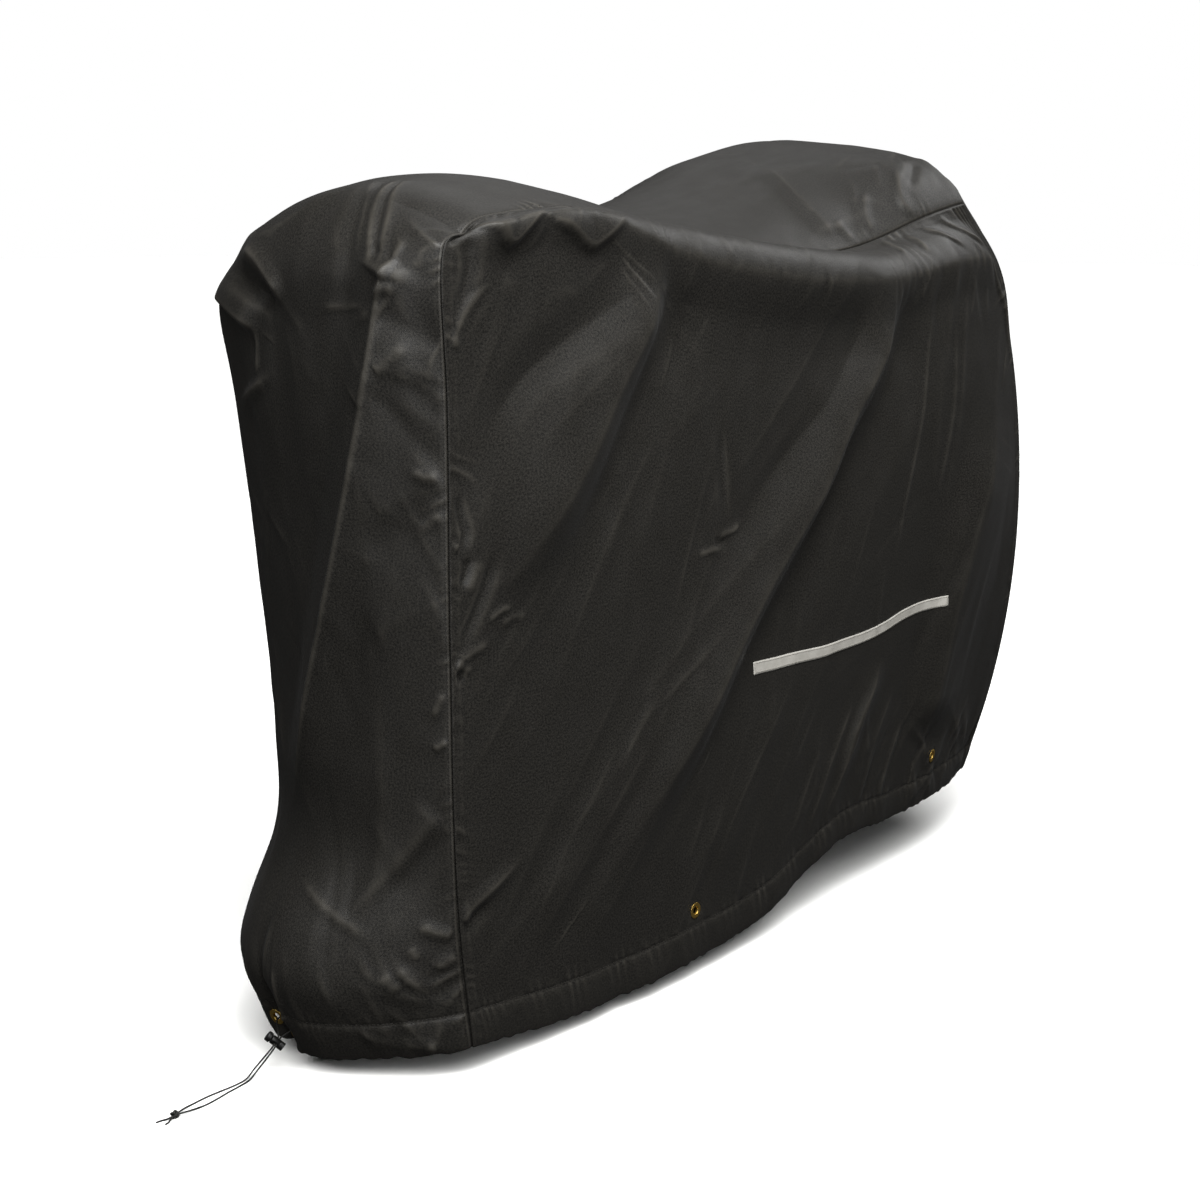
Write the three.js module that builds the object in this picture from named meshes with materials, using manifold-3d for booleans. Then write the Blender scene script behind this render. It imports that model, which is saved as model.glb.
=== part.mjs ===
// Fitted storage cover for a mobility scooter, as it hangs over the scooter: two side panels and one long
// centre panel that makes the front, the top and the back, sewn from thin coated cloth. The scooter itself
// is left out, so the cover is hollow and open below. Millimetres, +X from front to back, +Z up.
import * as THREE from 'three';
import { mergeVertices } from 'three/addons/utils/BufferGeometryUtils.js';
import Module from 'manifold-3d';

const wasm = await Module();
wasm.setup();

// Driving sizes
const LENGTH = 1220;
const HEIGHT = 930;
const WIDTH = 500;
const CLOTH = 2;
const GAP = 0.3;
const SEAM_TRIM = GAP * 0.6;
const BAND_TOP = 0.125;
const CREST = new THREE.Vector3(1130, 0, 1038);
const FLOOR_Z = -31;

// Eyelets: a rolled ring on both faces of the cloth, joined by a barrel. Radii, then the flange's thickness
// and the widths of its rounded lips at the bore and at the rim.
const EYELET = {
  bore: 5, barrel: 6.1, flange: 10.3, flangeThick: 0.9, clothHole: 6.5, boreLip: 0.4, rimLip: 0.6,
};
const EYELET_CELL = 0.017;
const SIDE_EYELET = { along: 0.328, up: 0.072 };
const REAR_EYELET = { along: 0.857, up: 0.086 };
const EYELET_ROW = { low: 0.047, high: 0.105 };
const FRONT_EYELET_ROW = { low: 0.005, high: 0.047 };
const FRONT_EYELETS = [
  { name: 'cord_eyelet_near', from: 0.445, to: 0.505, along: 0.0245, across: 0.477 },
  { name: 'cord_eyelet_far', from: 0.525, to: 0.585, along: 0.029, across: 0.553 },
];
const PINCH = { across: 0.515, along: 0, deep: 15, wide: 0.035, tall: 0.11 };

// Reflective tape on each side panel
const TAPE = { from: 0.44, to: 0.832, low: 0.362, high: 0.38, thick: 1, off: GAP * 1.2 };

// Cord lock and drawcord
const CORD = 2;
const LOCK = {
  radius: 5.2, long: 17, head: 6, headLong: 6, socket: 3, edge: 1, neck: 2.6, hole: 2.7, holeAt: 4,
};
const LOCK_CENTRE = new THREE.Vector3(-124, -42, 2);
const LOCK_AXIS = new THREE.Vector3(0.46, -0.62, -0.64).normalize();
const KNOT = new THREE.Vector3(-281, -44, FLOOR_Z + 4.2);
const KNOT_RADII = new THREE.Vector3(6, 5, 4.2);
const STRAND_APART = 2.5;

// Sides of the round pieces, and the lines of the panels' grids (shares of a panel)
const SIDES = { ring: 14, lock: 16, bore: 12, cord: 8, knotRound: 12, knotTall: 8 };
const CORD_STEPS = { strand: 48, tail: 4 };
const GRID = { along: 0.037, up: 0.045, across: 0.09, end: 0.02, shoulder: 0.86 };

// Heights of a side panel's levels, as shares of the way up the panel and of its height to the ridge
const LEVELS = [0, 0.16, 0.5, 0.78, 0.93, 1];
const LEVEL_SHARE = [0, 0.165, 0.52, 0.83];

// One row for each upright section of a side panel. u is its share of the length. x and out (distance from
// the centre plane) are given at the hem, low, middle, high, ridge and seam levels, z at hem, ridge and seam.
const NEAR_SECTIONS = [
  { u: 0.00, x: [0, -22, -34, -36, -40, -14], out: [230, 232, 234, 236, 236, 230], z: [0, 893, 924] },
  { u: 0.13, x: [160, 158, 155, 155, 160, 160], out: [244, 248, 246, 244, 240, 222], z: [-13, 918, 940] },
  { u: 0.31, x: [380, 380, 380, 380, 380, 380], out: [260, 262, 256, 248, 238, 200], z: [-10, 921, 920] },
  { u: 0.47, x: [570, 570, 570, 570, 570, 570], out: [258, 264, 262, 254, 240, 172], z: [2, 908, 888] },
  { u: 0.63, x: [780, 780, 780, 780, 780, 770], out: [252, 260, 266, 256, 240, 165], z: [54, 892, 876] },
  { u: 0.77, x: [935, 940, 945, 940, 935, 930], out: [248, 256, 270, 260, 238, 180], z: [50, 882, 890] },
  { u: 0.9, x: [1100, 1120, 1150, 1135, 1110, 1080], out: [242, 250, 274, 264, 238, 206], z: [52, 880, 930] },
  { u: 1.0, x: [1245, 1292, 1328, 1296, 1240, 1168], out: [212, 234, 254, 244, 230, 212], z: [54, 868, 944] },
];
const FAR_SECTIONS = [
  { u: 0.00, x: [95, 108, 108, 78, 48, 55], out: [180, 160, 182, 198, 198, 186], z: [14, 832, 868] },
  { u: 0.13, x: [215, 215, 210, 205, 200, 200], out: [228, 232, 236, 236, 232, 205], z: [4, 888, 912] },
  { u: 0.31, x: [400, 400, 400, 400, 400, 400], out: [255, 258, 254, 246, 236, 198], z: [-8, 912, 922] },
  { u: 0.47, x: [580, 580, 580, 580, 580, 580], out: [258, 262, 260, 252, 238, 180], z: [4, 905, 915] },
  { u: 0.63, x: [780, 780, 780, 780, 780, 780], out: [254, 260, 266, 256, 240, 178], z: [36, 914, 945] },
  { u: 0.77, x: [935, 940, 945, 940, 935, 930], out: [248, 256, 270, 260, 240, 190], z: [44, 935, 986] },
  { u: 0.9, x: [1100, 1120, 1150, 1130, 1110, 1080], out: [242, 250, 272, 262, 240, 206], z: [50, 930, 980] },
  { u: 1.0, x: [1240, 1285, 1320, 1290, 1240, 1170], out: [210, 228, 248, 240, 232, 208], z: [54, 920, 982] },
];

// Middle line of the centre panel, one row for each cross section: t is 0-1 up the front, 1-2 along the
// top and 2-3 down the back, and full says how squarely the cloth stands out between its two seams.
const MIDDLE_SECTIONS = [
  { t: 0.00, x: -100, y: -38, z: -14, full: 1.8 },
  { t: 0.05, x: -113, y: -26, z: 34, full: 2.1 },
  { t: 0.10, x: -120, y: -14, z: 80, full: 2.4 },
  { t: 0.15, x: -106, y: -12, z: 128, full: 2.3 },
  { t: 0.22, x: -64, y: -16, z: 205, full: 2.1 },
  { t: 0.35, x: -48, y: -16, z: 330, full: 2.2 },
  { t: 0.60, x: -46, y: -10, z: 560, full: 2.5 },
  { t: 0.85, x: -44, y: -6, z: 800, full: 2.8 },
  { t: 0.95, x: -26, y: 0, z: 896, full: 2.8 },
  { t: 1.00, x: 16, y: 0, z: 944, full: 2.6 },
  { t: 1.08, x: 110, y: 0, z: 972, full: 2.4 },
  { t: 1.25, x: 300, y: -6, z: 969, full: 2.2 },
  { t: 1.42, x: 530, y: -10, z: 934, full: 2.0 },
  { t: 1.60, x: 760, y: 10, z: 955, full: 2.2 },
  { t: 1.78, x: 960, y: 10, z: 1004, full: 3.0 },
  { t: 1.92, x: 1130, y: 0, z: 1040, full: 5.0 },
  { t: 2.00, x: 1208, y: 0, z: 1024, full: 5.0 },
  { t: 2.06, x: 1266, y: 0, z: 950, full: 4.0 },
  { t: 2.25, x: 1330, y: 0, z: 740, full: 3.0 },
  { t: 2.50, x: 1375, y: 0, z: 500, full: 2.8 },
  { t: 2.80, x: 1345, y: 0, z: 180, full: 2.8 },
  { t: 3.00, x: 1262, y: 0, z: 50, full: 2.8 },
];

// Main folds. A path runs in millimetres on the panel: [along, up] on a side panel, [t times 930, across]
// on the centre panel. wide is the reach on the left and on the right of the path, high its rise outwards.
const SIDE_FOLDS = [
  { name: 'front facet', path: [[320, 820], [250, 690], [150, 590], [60, 470]], wide: [60, 40], high: 10 },
  { name: 'front trough', path: [[360, 815], [295, 685], [220, 585], [125, 490], [50, 330]],
    wide: [34, 44], high: -9 },
  { name: 'long fold', path: [[920, 800], [815, 685], [685, 565], [570, 470], [405, 310], [215, 140]],
    wide: [60, 34], high: 11 },
  { name: 'long trough', path: [[965, 790], [860, 675], [730, 550], [610, 445], [450, 290]],
    wide: [34, 50], high: -8 },
  { name: 'rear corner', path: [[1160, 650], [1110, 560], [1060, 440], [1035, 320], [1020, 210], [1000, 110]],
    wide: [70, 50], high: 12 },
  { name: 'rear low fold', path: [[870, 300], [800, 190], [740, 90]], wide: [40, 34], high: 8 },
];
const CENTRE_FOLDS = [
  { name: 'front ridge', path: [[850, 72], [700, 108], [560, 150], [440, 190], [330, 235], [250, 300]],
    wide: [40, 60], high: 16 },
  { name: 'shoulder trough', path: [[910, 440], [840, 330], [790, 250]], wide: [34, 34], high: -12 },
  { name: 'shoulder ridge', path: [[900, 370], [800, 280]], wide: [28, 28], high: 8 },
  { name: 'low front fold', path: [[250, 60], [150, 110], [90, 170]], wide: [50, 50], high: 7 },
  { name: 'top front fold', path: [[1120, 90], [960, 110], [860, 130]], wide: [34, 34], high: -6 },
  { name: 'seat slope fold', path: [[1860, 60], [1760, 180], [1700, 330]], wide: [50, 60], high: -7 },
  { name: 'back fold near', path: [[2200, 130], [2450, 150], [2700, 170]], wide: [55, 55], high: 9 },
  { name: 'back fold far', path: [[2250, 340], [2500, 330], [2740, 350]], wide: [55, 60], high: -9 },
];
const FOLD_FADE = 45;

// Cubic through every knot, whose slope at a knot is the length-weighted mean of the chords beside it
function smooth(knots, values, at) {
  const last = knots.length - 1;
  const q = Math.min(Math.max(at, knots[0]), knots[last]);
  let i = 0;
  while (i < last - 1 && q >= knots[i + 1]) i += 1;
  const chord = (k) => (values[k + 1] - values[k]) / (knots[k + 1] - knots[k]);
  const slope = (k) => {
    if (k === 0) return chord(0);
    if (k === last) return chord(last - 1);
    const before = knots[k] - knots[k - 1];
    const after = knots[k + 1] - knots[k];
    return (chord(k - 1) * after + chord(k) * before) / (before + after);
  };
  const step = knots[i + 1] - knots[i];
  const f = (q - knots[i]) / step;
  const f2 = f * f;
  const f3 = f2 * f;
  return values[i] * (2 * f3 - 3 * f2 + 1) + values[i + 1] * (3 * f2 - 2 * f3)
    + slope(i) * step * (f3 - 2 * f2 + f) + slope(i + 1) * step * (f3 - f2);
}

// Plain point of a side panel, before its folds
function sidePoint(sections, sign, u, v) {
  const stations = sections.map((row) => row.u);
  const levelPoint = (level) => {
    const x = smooth(stations, sections.map((row) => row.x[level]), u);
    const out = smooth(stations, sections.map((row) => row.out[level]), u);
    const z = smooth(stations, sections.map((row) => {
      const [hem, ridge, seam] = row.z;
      if (level < LEVEL_SHARE.length) return hem + (ridge - hem) * LEVEL_SHARE[level];
      return level === LEVEL_SHARE.length ? ridge : seam;
    }), u);
    return [x, sign * out, z];
  };
  const column = LEVELS.map((_, level) => levelPoint(level));
  return new THREE.Vector3(...[0, 1, 2].map((k) => smooth(LEVELS, column.map((p) => p[k]), v)));
}

// Seam round a side panel: t is 0-1 up the front, 1-2 along the top, 2-3 down the back
function seamPoint(sections, sign, t) {
  const u = Math.min(Math.max(t - 1, 0), 1);
  const v = t < 1 ? t : Math.min(3 - t, 1);
  return sidePoint(sections, sign, u, v);
}

// Plain point of the centre panel: a straight line between the seams, swelled out through the middle line
function centrePoint(t, s) {
  const near = seamPoint(NEAR_SECTIONS, -1, t);
  const far = seamPoint(FAR_SECTIONS, 1, t);
  const knots = MIDDLE_SECTIONS.map((row) => row.t);
  const at = (key) => smooth(knots, MIDDLE_SECTIONS.map((row) => row[key]), t);
  const swell = 1 - Math.abs(2 * s - 1) ** at('full');
  const rise = new THREE.Vector3(at('x'), at('y'), at('z'));
  rise.sub(near.clone().add(far).multiplyScalar(0.5));
  return near.clone().lerp(far, s).addScaledVector(rise, swell);
}

// Rise of all folds at a point of a panel: a bell across the nearest stretch of each path, narrower or
// wider on its two sides, fading past the path's ends
function foldRise(folds, along, up) {
  let total = 0;
  for (const fold of folds) {
    let best = Infinity;
    let side = 1;
    for (let i = 0; i < fold.path.length - 1; i += 1) {
      const [ax, ay] = fold.path[i];
      const [bx, by] = fold.path[i + 1];
      const dx = bx - ax;
      const dy = by - ay;
      const f = ((along - ax) * dx + (up - ay) * dy) / (dx * dx + dy * dy);
      const g = Math.min(Math.max(f, 0), 1);
      const away = Math.hypot(along - ax - g * dx, up - ay - g * dy);
      if (away < best) {
        best = away;
        side = Math.sign(dx * (up - ay) - dy * (along - ax));
      }
    }
    const reach = side > 0 ? fold.wide[0] : fold.wide[1];
    total += fold.high * Math.exp(-((best / reach) ** 2));
  }
  return total;
}

// 0 on a panel's edge, 1 from a fade's width inside it
function inside(...distances) {
  const d = Math.min(...distances) / FOLD_FADE;
  return d >= 1 ? 1 : d * d * (3 - 2 * d);
}

// A panel as a grid of outer points at the given lines, folds raised along the plain surface's normal
function gridOf(point, rise, flip, us, vs) {
  const small = 0.004;
  const clamp = (value, lines) => Math.min(Math.max(value, lines[0]), lines[lines.length - 1]);
  return us.map((u) => vs.map((v) => {
    const p = point(u, v);
    const du = point(clamp(u + small, us), v).sub(point(clamp(u - small, us), v));
    const dv = point(u, clamp(v + small, vs)).sub(point(u, clamp(v - small, vs)));
    const normal = du.cross(dv).normalize().multiplyScalar(flip);
    return p.addScaledVector(normal, rise(u, v));
  }));
}

// Outward normals of a grid's points, from the chords to their neighbours
function normalsOf(grid, flip) {
  const rows = grid.length - 1;
  const cols = grid[0].length - 1;
  return grid.map((line, i) => line.map((_, j) => {
    const du = grid[Math.min(i + 1, rows)][j].clone().sub(grid[Math.max(i - 1, 0)][j]);
    const dv = grid[i][Math.min(j + 1, cols)].clone().sub(grid[i][Math.max(j - 1, 0)]);
    return du.cross(dv).normalize().multiplyScalar(flip);
  }));
}

// Vector of a mitre between two sheets that meet at a seam
function mitre(a, b) {
  const both = a.clone().add(b);
  return both.multiplyScalar(1 / Math.max(1 + a.dot(b), 0.5));
}

// Makes one cell of a grid flat, with the normal of its diagonals, so that an eyelet sits square on it
function flatten(panel, i, j) {
  const corners = [[i, j], [i + 1, j], [i + 1, j + 1], [i, j + 1]];
  const points = corners.map(([a, b]) => panel.grid[a][b]);
  const centre = new THREE.Vector3();
  points.forEach((p) => centre.addScaledVector(p, 0.25));
  const normal = points[2].clone().sub(points[0]).cross(points[3].clone().sub(points[1])).normalize();
  if (normal.dot(panel.normals[i][j]) < 0) normal.negate();
  corners.forEach(([a, b], k) => {
    points[k].addScaledVector(normal, -normal.dot(points[k].clone().sub(centre)));
    panel.normals[a][b] = normal.clone();
  });
  return { centre, normal, points };
}

// Place on a flattened cell, from its shares along the two directions of the grid
function onCell(cell, f, g) {
  const low = cell.points[0].clone().lerp(cell.points[1], f);
  const high = cell.points[3].clone().lerp(cell.points[2], f);
  return low.lerp(high, g);
}

// Closed sheet between outer points and inner points, for the lines from..to of a panel's grid. Edges
// named in the trim draw back along the sheet, which leaves the gap to the piece sewn there.
function sheet(panel, range, trim, flip) {
  const [i0, i1, j0, j1] = range;
  const pull = (i, j) => {
    const shift = new THREE.Vector3();
    const from = panel.grid[i][j];
    const towards = (a, b) => panel.grid[a][b].clone().sub(from).setLength(SEAM_TRIM);
    if (i === i0 && trim.left) shift.add(towards(i + 1, j));
    if (i === i1 && trim.right) shift.add(towards(i - 1, j));
    if (j === j0 && trim.low) shift.add(towards(i, j + 1));
    if (j === j1 && trim.high) shift.add(towards(i, j - 1));
    return shift;
  };
  const outer = [];
  const inner = [];
  const across = j1 - j0 + 1;
  for (let i = i0; i <= i1; i += 1) {
    for (let j = j0; j <= j1; j += 1) {
      const p = panel.grid[i][j].clone().add(pull(i, j));
      outer.push(p);
      inner.push(p.clone().addScaledVector(panel.normals[i][j], -CLOTH));
    }
  }
  return shell(outer, inner, i1 - i0 + 1, across, flip);
}

// Closed body between two grids of points
function shell(outer, inner, rows, cols, flip) {
  const positions = new Float32Array([...outer, ...inner].flatMap((p) => [p.x, p.y, p.z]));
  const index = [];
  const under = outer.length;
  const quad = (a, b, c, d) => {
    if (flip > 0) index.push(a, b, c, a, c, d);
    else index.push(a, c, b, a, d, c);
  };
  for (let i = 0; i < rows - 1; i += 1) {
    for (let j = 0; j < cols - 1; j += 1) {
      const a = i * cols + j;
      quad(a, a + cols, a + cols + 1, a + 1);
      quad(under + a, under + a + 1, under + a + cols + 1, under + a + cols);
    }
  }
  // Rims that face each other across a seam are split along the same diagonal
  const rim = (a, b) => quad(a, under + a, under + b, b);
  const facingRim = (a, b) => quad(b, a, under + a, under + b);
  for (let i = 0; i < rows - 1; i += 1) {
    const low = i * cols;
    rim(low, low + cols);
    facingRim(low + cols + cols - 1, low + cols - 1);
  }
  for (let j = 0; j < cols - 1; j += 1) {
    facingRim(j + 1, j);
    facingRim((rows - 1) * cols + j, (rows - 1) * cols + j + 1);
  }
  const geometry = new THREE.BufferGeometry();
  geometry.setAttribute('position', new THREE.BufferAttribute(positions, 3));
  geometry.setIndex(index);
  return geometry;
}

// Lines from the first to the last break, with every break kept and the stretches between them even
function linesThrough(breaks, step) {
  const lines = [breaks[0]];
  for (let i = 1; i < breaks.length; i += 1) {
    const from = breaks[i - 1];
    const count = Math.max(1, Math.round((breaks[i] - from) / step));
    for (let k = 1; k <= count; k += 1) lines.push(from + (breaks[i] - from) * (k / count));
  }
  return lines;
}

const near = (lines, value) => lines.reduce((best, x, i) =>
  (Math.abs(x - value) < Math.abs(lines[best] - value) ? i : best), 0);

function toSolid(geometry) {
  const plain = new THREE.BufferGeometry();
  plain.setAttribute('position', geometry.getAttribute('position'));
  plain.setIndex(geometry.getIndex());
  const merged = mergeVertices(plain, 1e-4);
  return new wasm.Manifold(new wasm.Mesh({
    numProp: 3,
    vertProperties: new Float32Array(merged.getAttribute('position').array),
    triVerts: new Uint32Array(merged.getIndex().array),
  }));
}

function fromSolid(solid) {
  const mesh = solid.getMesh();
  const geometry = new THREE.BufferGeometry();
  geometry.setAttribute('position', new THREE.BufferAttribute(new Float32Array(mesh.vertProperties), 3));
  geometry.setIndex(new THREE.BufferAttribute(new Uint32Array(mesh.triVerts), 1));
  return geometry;
}

// Turns a geometry made about +Y so that +Y lies along the axis, and moves it to a place
function place(geometry, axis, at) {
  const turn = new THREE.Quaternion().setFromUnitVectors(new THREE.Vector3(0, 1, 0), axis);
  return geometry.applyQuaternion(turn).translate(at.x, at.y, at.z);
}

function cut(geometry, ...tools) {
  return fromSolid(tools.reduce((solid, tool) => solid.subtract(toSolid(tool)), toSolid(geometry)));
}

// Round hole through the cloth for an eyelet
function eyeletHole(seat) {
  const { clothHole } = EYELET;
  return place(new THREE.CylinderGeometry(clothHole, clothHole, 4 * CLOTH, SIDES.ring), seat.normal, seat.at);
}

// The ring of an eyelet about its axis: bore, two rounded flanges and the barrel that clasps the cloth edge
function eyeletRing(seat) {
  const { bore, barrel, flange, flangeThick, boreLip, rimLip } = EYELET;
  const half = CLOTH / 2 + GAP;
  const top = half + flangeThick;
  const profile = [
    [bore, -top + boreLip], [bore + boreLip, -top], [flange - rimLip, -top], [flange, -top + rimLip],
    [flange, -half], [barrel, -half], [barrel, half], [flange, half], [flange, top - rimLip],
    [flange - rimLip, top], [bore + boreLip, top], [bore, top - boreLip], [bore, -top + boreLip],
  ].map(([r, y]) => new THREE.Vector2(r, y));
  const middle = seat.at.clone().addScaledVector(seat.normal, -CLOTH / 2);
  return place(new THREE.LatheGeometry(profile, SIDES.ring), seat.normal, middle);
}

// A tube along chosen points
function tube(points, steps) {
  const corners = Array.from({ length: SIDES.cord }, (_, i) => (i / SIDES.cord) * Math.PI * 2);
  const outline = new THREE.Shape(corners.map((a) =>
    new THREE.Vector2(Math.cos(a), Math.sin(a)).multiplyScalar(CORD / 2)));
  const path = new THREE.CatmullRomCurve3(points, false, 'centripetal');
  return new THREE.ExtrudeGeometry(outline, { steps, bevelEnabled: false, extrudePath: path });
}

const MATERIALS = {
  cloth: { color: 0x1f1e1b, roughness: 0.5, metalness: 0 },
  tape: { color: 0xc9c7c0, roughness: 0.45, metalness: 0 },
  brass: { color: 0xc9a640, roughness: 0.3, metalness: 1 },
  plastic: { color: 0x141414, roughness: 0.45, metalness: 0 },
  cord: { color: 0x2b2b2a, roughness: 0.8, metalness: 0 },
};

const cover = new THREE.Group();
cover.position.copy(CREST).negate();

function add(name, geometry, kind) {
  const mesh = new THREE.Mesh(geometry, new THREE.MeshStandardMaterial(MATERIALS[kind]));
  mesh.name = name;
  cover.add(mesh);
}

// Grid lines that the panels share at their seams
const cell = (at) => [at - EYELET_CELL, at + EYELET_CELL];
const alongLines = linesThrough(
  [0, GRID.end, ...cell(SIDE_EYELET.along), TAPE.from, TAPE.to, ...cell(REAR_EYELET.along), 1 - GRID.end, 1],
  GRID.along);
const upLines = linesThrough(
  [0, FRONT_EYELET_ROW.low, EYELET_ROW.low, EYELET_ROW.high, BAND_TOP, TAPE.low, TAPE.high, GRID.shoulder, 1],
  GRID.up);
const roundLines = [
  ...upLines,
  ...alongLines.slice(1).map((u) => 1 + u),
  ...upLines.slice(0, -1).reverse().map((v) => 3 - v),
];
const acrossLines = linesThrough(
  [0, ...FRONT_EYELETS.flatMap((eyelet) => [eyelet.from, eyelet.to]), 1], GRID.across);

function sidePanel(sections, sign) {
  const rise = (u, v) => foldRise(SIDE_FOLDS, u * LENGTH, v * HEIGHT)
    * inside(u * LENGTH, (1 - u) * LENGTH, v * HEIGHT, (1 - v) * HEIGHT);
  const grid = gridOf((u, v) => sidePoint(sections, sign, u, v), rise, -sign, alongLines, upLines);
  return { grid, normals: normalsOf(grid, -sign), flip: -sign };
}

function centrePanel() {
  const rise = (t, s) => {
    const up = t * HEIGHT;
    const across = s * WIDTH;
    const dip = Math.exp(-(((s - PINCH.across) / PINCH.wide) ** 2) - (((t - PINCH.along) / PINCH.tall) ** 2));
    return foldRise(CENTRE_FOLDS, up, across)
      * inside(up, 3 * HEIGHT - up, across, WIDTH - across) - PINCH.deep * dip;
  };
  const grid = gridOf(centrePoint, rise, 1, roundLines, acrossLines);
  return { grid, normals: normalsOf(grid, 1), flip: 1 };
}

const nearSide = sidePanel(NEAR_SECTIONS, -1);
const farSide = sidePanel(FAR_SECTIONS, 1);
const centre = centrePanel();

// Both sheets of a seam share its mitre: i and j find the seam's points in the two grids
function joinSeam(side, edge) {
  const rise = upLines.length - 1;
  const run = alongLines.length - 1;
  roundLines.forEach((_, k) => {
    const i = Math.min(Math.max(k - rise, 0), run);
    const j = k < rise ? k : Math.min(2 * rise + run - k, rise);
    const shared = mitre(side.normals[i][j], centre.normals[k][edge]);
    side.normals[i][j] = shared;
    centre.normals[k][edge] = shared.clone();
  });
}

joinSeam(nearSide, 0);
joinSeam(farSide, acrossLines.length - 1);

// Seats of the eyelets, each on its own flattened cell
function sideSeat(panel, eyelet) {
  const i = near(alongLines, eyelet.along - EYELET_CELL);
  const j = near(upLines, EYELET_ROW.low);
  const flat = flatten(panel, i, j);
  const share = (eyelet.up - EYELET_ROW.low) / (EYELET_ROW.high - EYELET_ROW.low);
  return { at: onCell(flat, 0.5, share), normal: flat.normal };
}

function frontSeat(eyelet) {
  const i = near(roundLines, FRONT_EYELET_ROW.low);
  const j = near(acrossLines, eyelet.from);
  const flat = flatten(centre, i, j);
  const f = (eyelet.along - FRONT_EYELET_ROW.low) / (FRONT_EYELET_ROW.high - FRONT_EYELET_ROW.low);
  const g = (eyelet.across - eyelet.from) / (eyelet.to - eyelet.from);
  return { at: onCell(flat, f, g), normal: flat.normal };
}

const frontSeats = FRONT_EYELETS.map(frontSeat);

// Side panels: the cloth above the band, the hem band with its two eyelets, and the tape
const bandLine = near(upLines, BAND_TOP);
const lastLine = upLines.length - 1;
const lastRow = alongLines.length - 1;

function addSide(side, panel) {
  const seats = [sideSeat(panel, SIDE_EYELET), sideSeat(panel, REAR_EYELET)];
  const body = sheet(panel, [0, lastRow, bandLine, lastLine],
    { left: true, right: true, low: true, high: true }, panel.flip);
  const band = sheet(panel, [0, lastRow, 0, bandLine], { left: true, right: true, high: true }, panel.flip);
  add(`${side}_side_panel`, body, 'cloth');
  add(`${side}_hem_band`, cut(band, ...seats.map(eyeletHole)), 'cloth');
  add(`${side}_reflective_tape`, tape(panel), 'tape');
  ['side', 'rear'].forEach((spot, k) => add(`${side}_${spot}_eyelet`, eyeletRing(seats[k]), 'brass'));
}

// The tape lies on the panel's own cells, a gap off the cloth
function tape(panel) {
  const [i0, i1] = [near(alongLines, TAPE.from), near(alongLines, TAPE.to)];
  const [j0, j1] = [near(upLines, TAPE.low), near(upLines, TAPE.high)];
  const outer = [];
  const inner = [];
  for (let i = i0; i <= i1; i += 1) {
    for (let j = j0; j <= j1; j += 1) {
      const normal = panel.normals[i][j];
      inner.push(panel.grid[i][j].clone().addScaledVector(normal, TAPE.off));
      outer.push(panel.grid[i][j].clone().addScaledVector(normal, TAPE.off + TAPE.thick));
    }
  }
  return shell(outer, inner, i1 - i0 + 1, j1 - j0 + 1, panel.flip);
}

addSide('near', nearSide);
addSide('far', farSide);

const centreSheet = sheet(centre, [0, roundLines.length - 1, 0, acrossLines.length - 1],
  { low: true, high: true }, centre.flip);
add('centre_panel', cut(centreSheet, ...frontSeats.map(eyeletHole)), 'cloth');
frontSeats.forEach((seat, k) => add(FRONT_EYELETS[k].name, eyeletRing(seat), 'brass'));

// Cord lock: a barrel with a cross hole for both strands, and a push button with its own head and neck.
// Profiles run along the lock's axis, from the button's end of the barrel at 0.
const holeAxis = new THREE.Vector3(0.62, 0.62, 0.48);
holeAxis.addScaledVector(LOCK_AXIS, -holeAxis.dot(LOCK_AXIS)).normalize();
const lockEnd = LOCK_CENTRE.clone().addScaledVector(LOCK_AXIS, -LOCK.long / 2);
const lockHole = lockEnd.clone().addScaledVector(LOCK_AXIS, LOCK.socket + GAP + LOCK.holeAt);

function turned(profile) {
  const points = profile.map(([r, y]) => new THREE.Vector2(r, y));
  return place(new THREE.LatheGeometry(points, SIDES.lock), LOCK_AXIS, lockEnd);
}

function lockBody() {
  const { radius, long, neck, hole, socket, edge } = LOCK;
  const barrel = turned([
    [0, socket], [neck + GAP, socket], [neck + GAP, 0], [radius - edge, 0],
    [radius, edge], [radius, long - edge], [radius - edge, long], [0, long],
  ]);
  const bore = new THREE.CylinderGeometry(hole, hole, 4 * radius, SIDES.bore);
  return cut(barrel, place(bore, holeAxis, lockHole));
}

function lockButton() {
  const { head, headLong, neck, socket, edge } = LOCK;
  const face = -2 * GAP;
  return turned([
    [0, face - headLong], [head - edge, face - headLong], [head, face - headLong + edge],
    [head, face - edge], [head - edge, face], [neck, face], [neck, socket - GAP], [0, socket - GAP],
  ]);
}

add('cord_lock_body', lockBody(), 'plastic');
add('cord_lock_button', lockButton(), 'plastic');

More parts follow.
